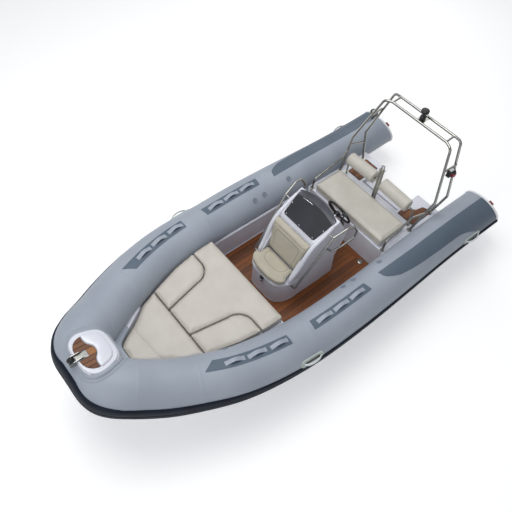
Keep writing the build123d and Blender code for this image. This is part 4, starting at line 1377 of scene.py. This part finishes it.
def on_screen(up, y, lift=SCREEN_TOP):
    """Point of the screen: crowned by 7 mm across, bent up past 275 mm by (way)^2 / 500."""
    up, y, lift = np.broadcast_arrays(*(np.asarray(q, float) for q in (up, y, lift)))
    rise = 7 * (1 - (y / TOP_HALF) ** 2) + np.clip(up - BEND_FROM, 0, None) ** 2 / 500 + lift
    return SCREEN_FOOT + up[..., None] * SLOPE + y[..., None] * PORT + rise[..., None] * SLOPE_OUT


def screen_rows(u):
    """Table of the screen's top for shares u of the way up: round corners of 22 mm."""
    v = np.linspace(-1, 1, 33)
    side_up = FOOT_UP + (SIDE_UP - FOOT_UP) * u
    end = np.minimum(side_up - FOOT_UP, SIDE_UP - side_up)
    round_in = CORNER - np.sqrt(np.clip(CORNER**2 - (CORNER - end) ** 2, 0, None))
    wide = FOOT_HALF + (TOP_HALF - FOOT_HALF) * u - np.where(end < CORNER, round_in, 0.0)
    up = FOOT_UP + u[:, None] * (SIDE_UP + TOP_BOW - FOOT_UP - TOP_BOW * v**2)
    return up, wide[:, None] * v


PANE = np.r_[0, 0.004, 0.012, 0.025, 0.045, 0.07, np.linspace(0.1, 0.79, 14)]
BENT_EDGE = np.r_[np.linspace(0.79, 0.93, 8), 0.955, 0.975, 0.988, 0.996, 1.0]
SCREWS_AT = [(24, 200), (24, 0), (150, 236), (290, 252), (24, -200), (150, -236), (290, -252)]
DOME = [(7, -1), (7, 1), (5, 3), (2, 4), (0.3, 4.2)]
parts = []
# the bent rear rows take the lighter finish, a painted sky reflection
for u, mat in ((PANE, 0), (BENT_EDGE, 1)):
    up, y = screen_rows(u)
    parts += slab(on_screen(up, y), on_screen(up, y, SCREEN_BACK), mat=mat)
parts += [turned(DOME, on_screen(up, y), SLOPE_OUT, PORT, 16, mat=2) for up, y in SCREWS_AT]
bar = arch_line(on_screen(262, -180), on_screen(274, -42), 20, SLOPE_OUT, 21)
parts.append(rod(bar, 5.5, 12, mat=2))
make("smoked_screen", parts, [SMOKED, SMOKED_PAINTED_REFLECTION, SILVER_PLASTIC], stands_for=["windscreen"], sharp=45)

# %% [markdown]
# ## Jockey seat and back rest
# The seat is a sewn pad with a thick front roll and an inner panel. The back rest has an
# inner panel too, and a roll along its top. The seams are pressed in after the pads are
# blown up, because a groove narrower than the mesh would be lost.

# %% Seat
# The half plan is (x, y) from the back to the nose; the panel's seam is (x, y) on the top.
SEAT_LINE = np.array([(-60, 206), (20, 211), (52, 217), (76, 238), (100, 250), (140, 232), (176, 184),
                      (196, 106), (201, 0)], float)
SEAT_PLAN = np.vstack([SEAT_LINE, (SEAT_LINE[:-1] * [1, -1])[::-1]])
SEAT_PANEL = [(x, y, 644) for x, y in (
    (-56, -150), (20, -150), (58, -136), (78, -90), (84, -30), (84, 30), (78, 90), (58, 136), (20, 150),
    (-56, 150))]


def wider_seat(p):
    """Fills the plan out to SEAT_LINE: y grows in the ratio of the new half width to the old one."""
    x = np.clip(p[:, 0], -60, 176)
    old = np.interp(x, [-60, 116, 157, 176], [206, 204, 163, 98])
    stretched = np.interp(x, [-60, 60, 116, 157, 176], [-60, 66, 130, 178, 201])
    new = np.interp(stretched, SEAT_LINE[:, 0], np.maximum(SEAT_LINE[:, 1], 98))
    out = p.copy()
    out[:, 0] = p[:, 0] + stretched - x
    out[:, 1] = p[:, 1] * new / old
    return out


seat = stuffed("console_seat", "jockey_seat_sewn", SEAT_VINYL, body="console_hatch", voxel=6.0,
               cap=(3.0, 3.0, 7.0), pinned=on_foot(590), shrink=1.5, edge=10, reshape=wider_seat)
pressed(seat, along_line(SEAT_PANEL), 4.5, 6.0, UP)
finer(seat)
welt("jockey_seat_panel_seam", SEAT_PANEL, seat, 1.5, SEAM_THREAD, body="console_hatch", closed=False)
edge = evened(rounded(SEAT_PLAN, 24), 8)
welt("jockey_seat_piping", at_height(inset(edge, 4), 633.0), seat, 2.6, PIPING, body="console_hatch")

# %% Back rest
REST_OUT = unit(np.array([285.0, 0, 74]))
FLARE, TOP_DOWN, FOOT_DOWN = 0.17, 18.0, 26.0


def flare_at(z):
    """How much wider the back rest is at height z: nothing below 720, all of it from 990."""
    return 1 + FLARE * np.clip((z - 720) / 270, 0, 1)


def flared(p):
    """Widens the back rest upwards over the arms, lowers its top and brings its foot to the seat."""
    out = p.copy()
    out[:, 1] *= flare_at(p[:, 2])
    top, foot = np.clip((p[:, 2] - 940) / 90, 0, 1), np.clip((700 - p[:, 2]) / 54, 0, 1)
    out[:, 2] -= TOP_DOWN * top + FOOT_DOWN * foot
    return out


rest = stuffed("console_back_rest", "back_rest_sewn", SEAT_VINYL, voxel=7.0, cap=(6.0, 3.0, 6.0),
               pinned=lambda p: p[:, 0] < -198, shrink=1.5, edge=11, reshape=flared)


def rest_face(y, z, lift=6.0):
    """Point on the front of the back rest: upright below z = 700, then 74 back for each 285 up."""
    y, z = np.broadcast_arrays(np.asarray(y, float), np.asarray(z, float))
    x = np.where(z < 700, -68.0, -68 - (z - 700) * 74 / 285)
    return np.stack([x, y, z], -1) + lift * REST_OUT


PANEL_CORNERS = [(-158, 664), (-180, 895), (-160, 930), (160, 930), (180, 895), (158, 664)]
panel = [rest_face(y, z) for y, z in PANEL_CORNERS]
pressed(rest, along_line(panel), 4.5, 6.5, REST_OUT)
pressed(rest, along_line([rest_face(y, 974) for y in (-246, 246)]), 3.5, 9.0, REST_OUT)
finer(rest)
welt("back_rest_panel_seam", panel, rest, 1.5, SEAM_THREAD, closed=False)
front = np.array([rest_face(-214 * flare_at(z), z, 2) for z in np.linspace(640, 975, 18)])
for sign, word in ((1, "stbd"), (-1, "port")):
    welt(f"back_rest_piping_{word}", front * [1, sign, 1], rest, 2.6, PIPING, closed=False)

# %% [markdown]
# ## Helm
# The wheel has a round grip, three flat spokes and a dished hub. It turns on its own body.
# A hoop is the centre plus (big radius plus small radius times cosine) along the spoke
# direction, plus small radius times sine along the axis.

# %% Steering wheel and throttle
WHEEL_C = np.array([-910.0, 0, 798])
WHEEL_LEAN = np.radians(22)
AXLE = np.array([-np.cos(WHEEL_LEAN), 0, np.sin(WHEEL_LEAN)])
WHEEL_DOWN = np.cross(AXLE, PORT)
GRIP_R, GRIP_HALF_T = 156, 14
HUB = [(11.5, -52), (36, -52), (38, -49), (38, -20), (36, -14), (28, -9), (27, -7), (12, -5), (0.4, -4.5)]
HUB_CAP = [(26, -7), (25, -4), (18, -1.5), (0.4, -0.5)]


def hoop(centre, e1, e2, axis, big, small):
    """Closed ring round axis in the plane of e1 and e2: 64 sections of 14 points."""
    a, b = circle(64)[:, None, None], circle(14)[None, :, None]
    p = centre + (big + small * np.cos(b)) * (np.cos(a) * e1 + np.sin(a) * e2) + small * np.sin(b) * axis
    return sheet(p, wrap=(True, True))


def flat_bar(line, across, out, width, thick):
    """Bar of oval section along a line: half widths times cosine across and sine outwards."""
    a = circle(14)[:, None]
    width = np.broadcast_to(width, len(line))[:, None, None]
    return capped(line[:, None] + width / 2 * np.cos(a) * across + thick / 2 * np.sin(a) * out)


parts = [hoop(WHEEL_C, PORT, WHEEL_DOWN, AXLE, GRIP_R, GRIP_HALF_T)]
q = np.linspace(0, 1, 9)[:, None]
for turn in np.radians([90, 210, 330]):
    spoke = np.cos(turn) * PORT + np.sin(turn) * WHEEL_DOWN
    line = WHEEL_C + (28 + 122 * q) * spoke + (-20 + 18 * q**1.5) * AXLE
    parts.append(flat_bar(line, np.cross(AXLE, spoke), AXLE, 34 - 12 * np.sin(np.pi * q[:, 0]), 7))
parts += [turned(HUB, WHEEL_C, AXLE, PORT), turned(HUB_CAP, WHEEL_C, AXLE, PORT, mat=1)]
make("steering_wheel_moulded", parts, [BLACK_PLASTIC, SILVER_PLASTIC], body="helm",
     stands_for=["steering_wheel"], sharp=45)
softened("throttle", 6, BLACK_PLASTIC, "throttle_moulded", angle=40)

# %% [markdown]
# ## Bench and bolsters
# The aft bench is a locker whose lid carries a long cushion. Behind it two round bolsters
# ride on a tube. A bolster is turned: its radius swells a little in the middle, a welt
# runs round each end, and fine puckers run in from the welts.

# %% Bench
softened("bench", 7, GELCOAT, "bench_moulding")
softened("bench_lid", 5, GELCOAT, "bench_lid_moulded", body="bench_hatch")
bench_pad = stuffed("bench_cushion", "bench_cushion_sewn", BENCH_VINYL, body="bench_hatch", voxel=9.0,
                    cap=(4.0, 4.0, 11.0), pinned=on_foot(592), shrink=3.5, edge=18)
finer(bench_pad)
low, high = (np.array(q) * 1000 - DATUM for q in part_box("bench_cushion"))
BENCH_PLAN = rounded([(low[0], low[1]), (high[0], low[1]), (high[0], high[1]), (low[0], high[1])], 26)
line = inset(evened(BENCH_PLAN, 10), 3)
for z, word in ((high[2] - 5, "top"), (low[2] + 12, "foot")):
    welt(f"bench_piping_{word}", at_height(line, z), bench_pad, 3.0, PIPING, body="bench_hatch")

# %% Bolsters
# The end is a profile of (radius, how far in), the same at both ends.
POST_X = -1520.0
END_ROWS = [(12.3, 0), (40, -1.5), (60, -0.5), (68, 2), (72.5, 6), (74, 9), (76.6, 10.5), (77.4, 12.5),
            (76.4, 14.5), (74.2, 16)]
WELT_AT, PUCKERS = 14, 23
turn = circle(72)
for side, word in SIDES:
    a, b = np.array([POST_X, side * 60, 910.5]), np.array([POST_X, side * 460, 895.5])
    run = np.linalg.norm(b - a)
    h = np.linspace(18, run - 18, 60)
    body_rows = np.column_stack([74.6 + 1.9 * np.sin(np.pi * (h - 16) / (run - 32)) ** 0.6, h])
    rows = np.vstack([END_ROWS, body_rows, [(r, run - q) for r, q in END_ROWS[::-1]]])
    d = np.abs(rows[:, 1] - np.where(rows[:, 1] < run / 2, WELT_AT, run - WELT_AT))
    live = (rows[:, 0] > 60) * np.exp(-d / 22)
    r = rows[:, :1] + 0.9 * live[:, None] * np.sin(PUCKERS * turn + 1.7 * np.sin(3 * turn))
    axis = unit(b - a)
    e1 = unit(np.cross(axis, UP))
    e2 = np.cross(axis, e1)
    ring = np.cos(turn)[:, None] * e1 + np.sin(turn)[:, None] * e2
    skin_of_pad = sheet(a + r[..., None] * ring + rows[:, 1, None, None] * axis, wrap=(True, True))
    pad = make(f"bolster_sewn_{word}", [skin_of_pad], BENCH_VINYL, stands_for=[f"bolster_{word}"], sharp=None)

# %% [markdown]
# ## Lamps and bright steel
# The arch carries two side lamps, dark bodies with a red and a green lens, and one dark
# all-round lamp. The tubes, frames, eyes and the anchor bracket keep the shape they have
# and are only given polished steel.

# %% Lamps
# Turned profiles of (radius, height): the side lamp's barrel and lens, and the all-round lamp.
BARREL = [(0.3, -35), (28, -35), (32, -31), (33, -26), (33, -8), (33, 26), (32, 31), (28, 35), (0.3, 35)]
LENS = [(0.3, -23), (26, -23), (31, -18), (32, 0), (31, 18), (26, 23), (0.3, 23)]
MAST = [(34, 0), (34, 34), (30, 42), (21, 46), (18, 50), (18, 88), (22, 91), (43, 93), (45, 96), (45, 117),
        (42, 122), (30, 124), (0.3, 124)]
for side, word in SIDES:
    lens = RED_LENS if word == "port" else GREEN_LENS
    parts = [plate((-1915, side * 570, 1246), AHEAD, PORT, UP, (96, 50, 78), 11, 6),
             plate((-1915, side * 570, 1324), AHEAD, PORT, UP, (56, 36, 8), 8, 3, mat=2, foot=2),
             turned(BARREL, np.array([-1922, side * 590.0, 1285]), UP, AHEAD, 28),
             turned(LENS, np.array([-1921, side * 600.0, 1284]), UP, AHEAD, 28, mat=1)]
    make(f"side_lamp_{word}", parts, [BLACK_PLASTIC, lens, WHITE_PLASTIC], stands_for=[f"nav_light_{word}"])
lamp = turned(MAST, np.array([-1970, 0, 1593.0]), UP, AHEAD, 36)
make("all_round_lamp", [lamp], BLACK_PLASTIC, stands_for=["all_round_light"], sharp=50)

# %% Steel that stays as it is


def dress(material, *nodes):
    """Gives CAD nodes a finish by assigning every material slot of their objects."""
    for node in nodes:
        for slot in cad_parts[node].material_slots:
            slot.material = material


dress(STAINLESS, "arch", "backrest_frame", "bench_rail_port", "bench_rail_stbd", "console_rail_port",
      "console_rail_stbd", "roller_bracket", "eye_bow", "eye_stern_port", "eye_stern_stbd")
dress(SILVER_PLASTIC, "helm_boss")
shown = [n for n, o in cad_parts.items() if not o.hide_render]
print("CAD nodes shown", shown)

# %% [markdown]
# ## Trim in the cockpit and at the bow
# A white lip covers the joint between the collar and the cockpit's side, a bead runs where
# the side meets the planked floor, and a strip of collar fabric closes the corner between
# the bow cushions and the collar.

# %% Lips and beads
# The lip's section is (how far inboard, height). It climbs with the collar towards the bow.
LIP = np.array([(0, -26), (9, -25), (15, -19), (17, -8), (17, 8), (14, 20), (8, 26), (0, 27)], float)
x = np.linspace(-1050, 428, 60)
lip_z = np.interp(x, [SOLE_AFT, SOLE_FORE], [505, 548])
for side, word in SIDES:
    ring = np.stack(np.broadcast_arrays(
        x[:, None], side * (WALL_Y + 1 - LIP[:, 0]), lip_z[:, None] + LIP[:, 1]), -1)
    bead = [(q, side * (WALL_Y - 6), FLOOR_Z + 2) for q in np.linspace(-1050, 426, 12)]
    make(f"cockpit_lip_{word}", [capped(ring), rod(bead, 6, 10)], GELCOAT)
FITTING = [(34, -1), (34, 3), (31, 5), (20, 5.5), (18, 3), (0.3, 3)]
make("floor_fitting", [turned(FITTING, np.array([-1000.0, 415, FLOOR_Z]), UP, AHEAD, 28)], STAINLESS)

# %% Bow strip
# It follows the front cushion's plan round the nose: rows of (how far out, height) over the
# ledge, which climbs 45 mm towards the bow.
LEDGE_Z, LEDGE_RISE = 745, 45
STRIP = [(5, 14), (20, 20), (50, 34), (95, 60)]
nose = evened(rounded(FRONT_PLAN, 22), 10)
nose = nose[np.argsort(np.arctan2(nose[:, 1], nose[:, 0] - 1500))]
nose = nose[(nose[:, 0] > 1560) & (nose[:, 1] > -210)]
along = heading(nose)
away = np.stack([along[:, 1], -along[:, 0]], -1)
ledge = LEDGE_Z + LEDGE_RISE * np.clip((nose[:, 0] - 1250) / 650, 0, 1)
top = np.stack([at_height(nose + d * away, ledge + z) for d, z in STRIP], 1)
make("bow_corner_strip", slab(top, top - [0, 0, 60.0]), GREY_FABRIC)

# %% [markdown]
# ## Camera, lamps and floor
# The camera looks down on the port bow quarter, about six metres from the boat's middle.
# Its three axes are worked out from a turn vector: direction is the axis, length the angle
# in radians. Big soft area lamps and a pale sky give a plain, even light, and the floor
# keeps a soft shadow.

# %% Camera
TURN = Vector((0.92123636, 2.63165873, -0.78073836))
AXES = Matrix.Rotation(TURN.length, 3, TURN.normalized())
EYE = Vector(to_scene((2502.8, 2273.7, 5656.3)))
camera_data = bpy.data.cameras.new("camera")
camera_data.lens, camera_data.sensor_width = 39.43, 36.0
camera = in_scene("camera", camera_data)
camera.matrix_world = Matrix.Translation(EYE) @ Matrix(
    (AXES.row[0], -AXES.row[1], -AXES.row[2])).transposed().to_4x4()
scene.camera = camera
print("camera looks along", [round(v, 3) for v in AXES.row[2]])

# %% Area lamps
BOAT_MIDDLE = (0, 0, 0.8)


def area_lamp(name, place, size, watts):
    """A square soft lamp at place, turned towards the middle of the boat."""
    data = bpy.data.lights.new(name, "AREA")
    data.size, data.energy = size, watts
    lamp = in_scene(name, data)
    lamp.location = place
    lamp.rotation_euler = (Vector(BOAT_MIDDLE) - Vector(place)).to_track_quat("-Z", "Y").to_euler()


area_lamp("key_overhead", (1.0, -1.5, 7.5), 5.0, 300)
area_lamp("fill_bow", (6.5, 3.0, 4.0), 4.0, 95)
area_lamp("fill_stern", (-6.0, -4.0, 4.5), 4.0, 85)

# %% Sky
# The camera sees it at 0.9, the boat is lit by 0.42 of it.
SKY_SEEN, SKY_LIGHT = 0.9, 0.42
world = bpy.data.worlds.new("pale_sky")
scene.world = world
world.use_nodes = True
background = world.node_tree.nodes["Background"]
background.inputs["Color"].default_value = linear("#F4F6FA")
sky_path = add(world, "ShaderNodeLightPath")
sky_seen = add(world, "ShaderNodeMath", {1: SKY_SEEN - SKY_LIGHT, 2: SKY_LIGHT},
               {0: (sky_path, "Is Camera Ray")}, operation="MULTIPLY_ADD")
world.node_tree.links.new(sky_seen.outputs[0], background.inputs["Strength"])
print("sky", world.name, "lights at", SKY_LIGHT)

# %% Floor
# White paper that glows a little where the camera or a mirror sees it, so that it stays
# white there, and that still takes the boat's shadow.
FLOOR, shader = finish("floor_paper_white", "#F2F2F2", 0.9)
grain(FLOOR, shader, 40.0, 0.1, 0.2)
light_path = add(FLOOR, "ShaderNodeLightPath")
seen = add(FLOOR, "ShaderNodeMath", {}, {0: (light_path, "Is Camera Ray"), 1: (light_path, "Is Glossy Ray")},
           operation="MAXIMUM")
glow = add(FLOOR, "ShaderNodeMath", {1: 0.32}, {0: (seen, 0)}, operation="MULTIPLY")
FLOOR.node_tree.links.new(glow.outputs[0], shader.inputs["Emission Strength"])
shader.inputs["Emission Color"].default_value = (1, 1, 1, 1)
span = np.linspace(-14, 14, 8)
grid = np.stack(np.meshgrid(span, span, indexing="ij") + [np.zeros((8, 8))], -1).reshape(-1, 3)
mesh = bpy.data.meshes.new("studio_floor")
mesh.from_pydata(grid, [], grid_faces(8, 8, False, False).tolist())
mesh.materials.append(FLOOR)
floor = in_scene("studio_floor", mesh)
floor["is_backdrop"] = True
scene.view_settings.view_transform = "Standard"

# %% Print the visual box
low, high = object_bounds()
print("visual box", [round(v, 3) for v in low], [round(v, 3) for v in high])
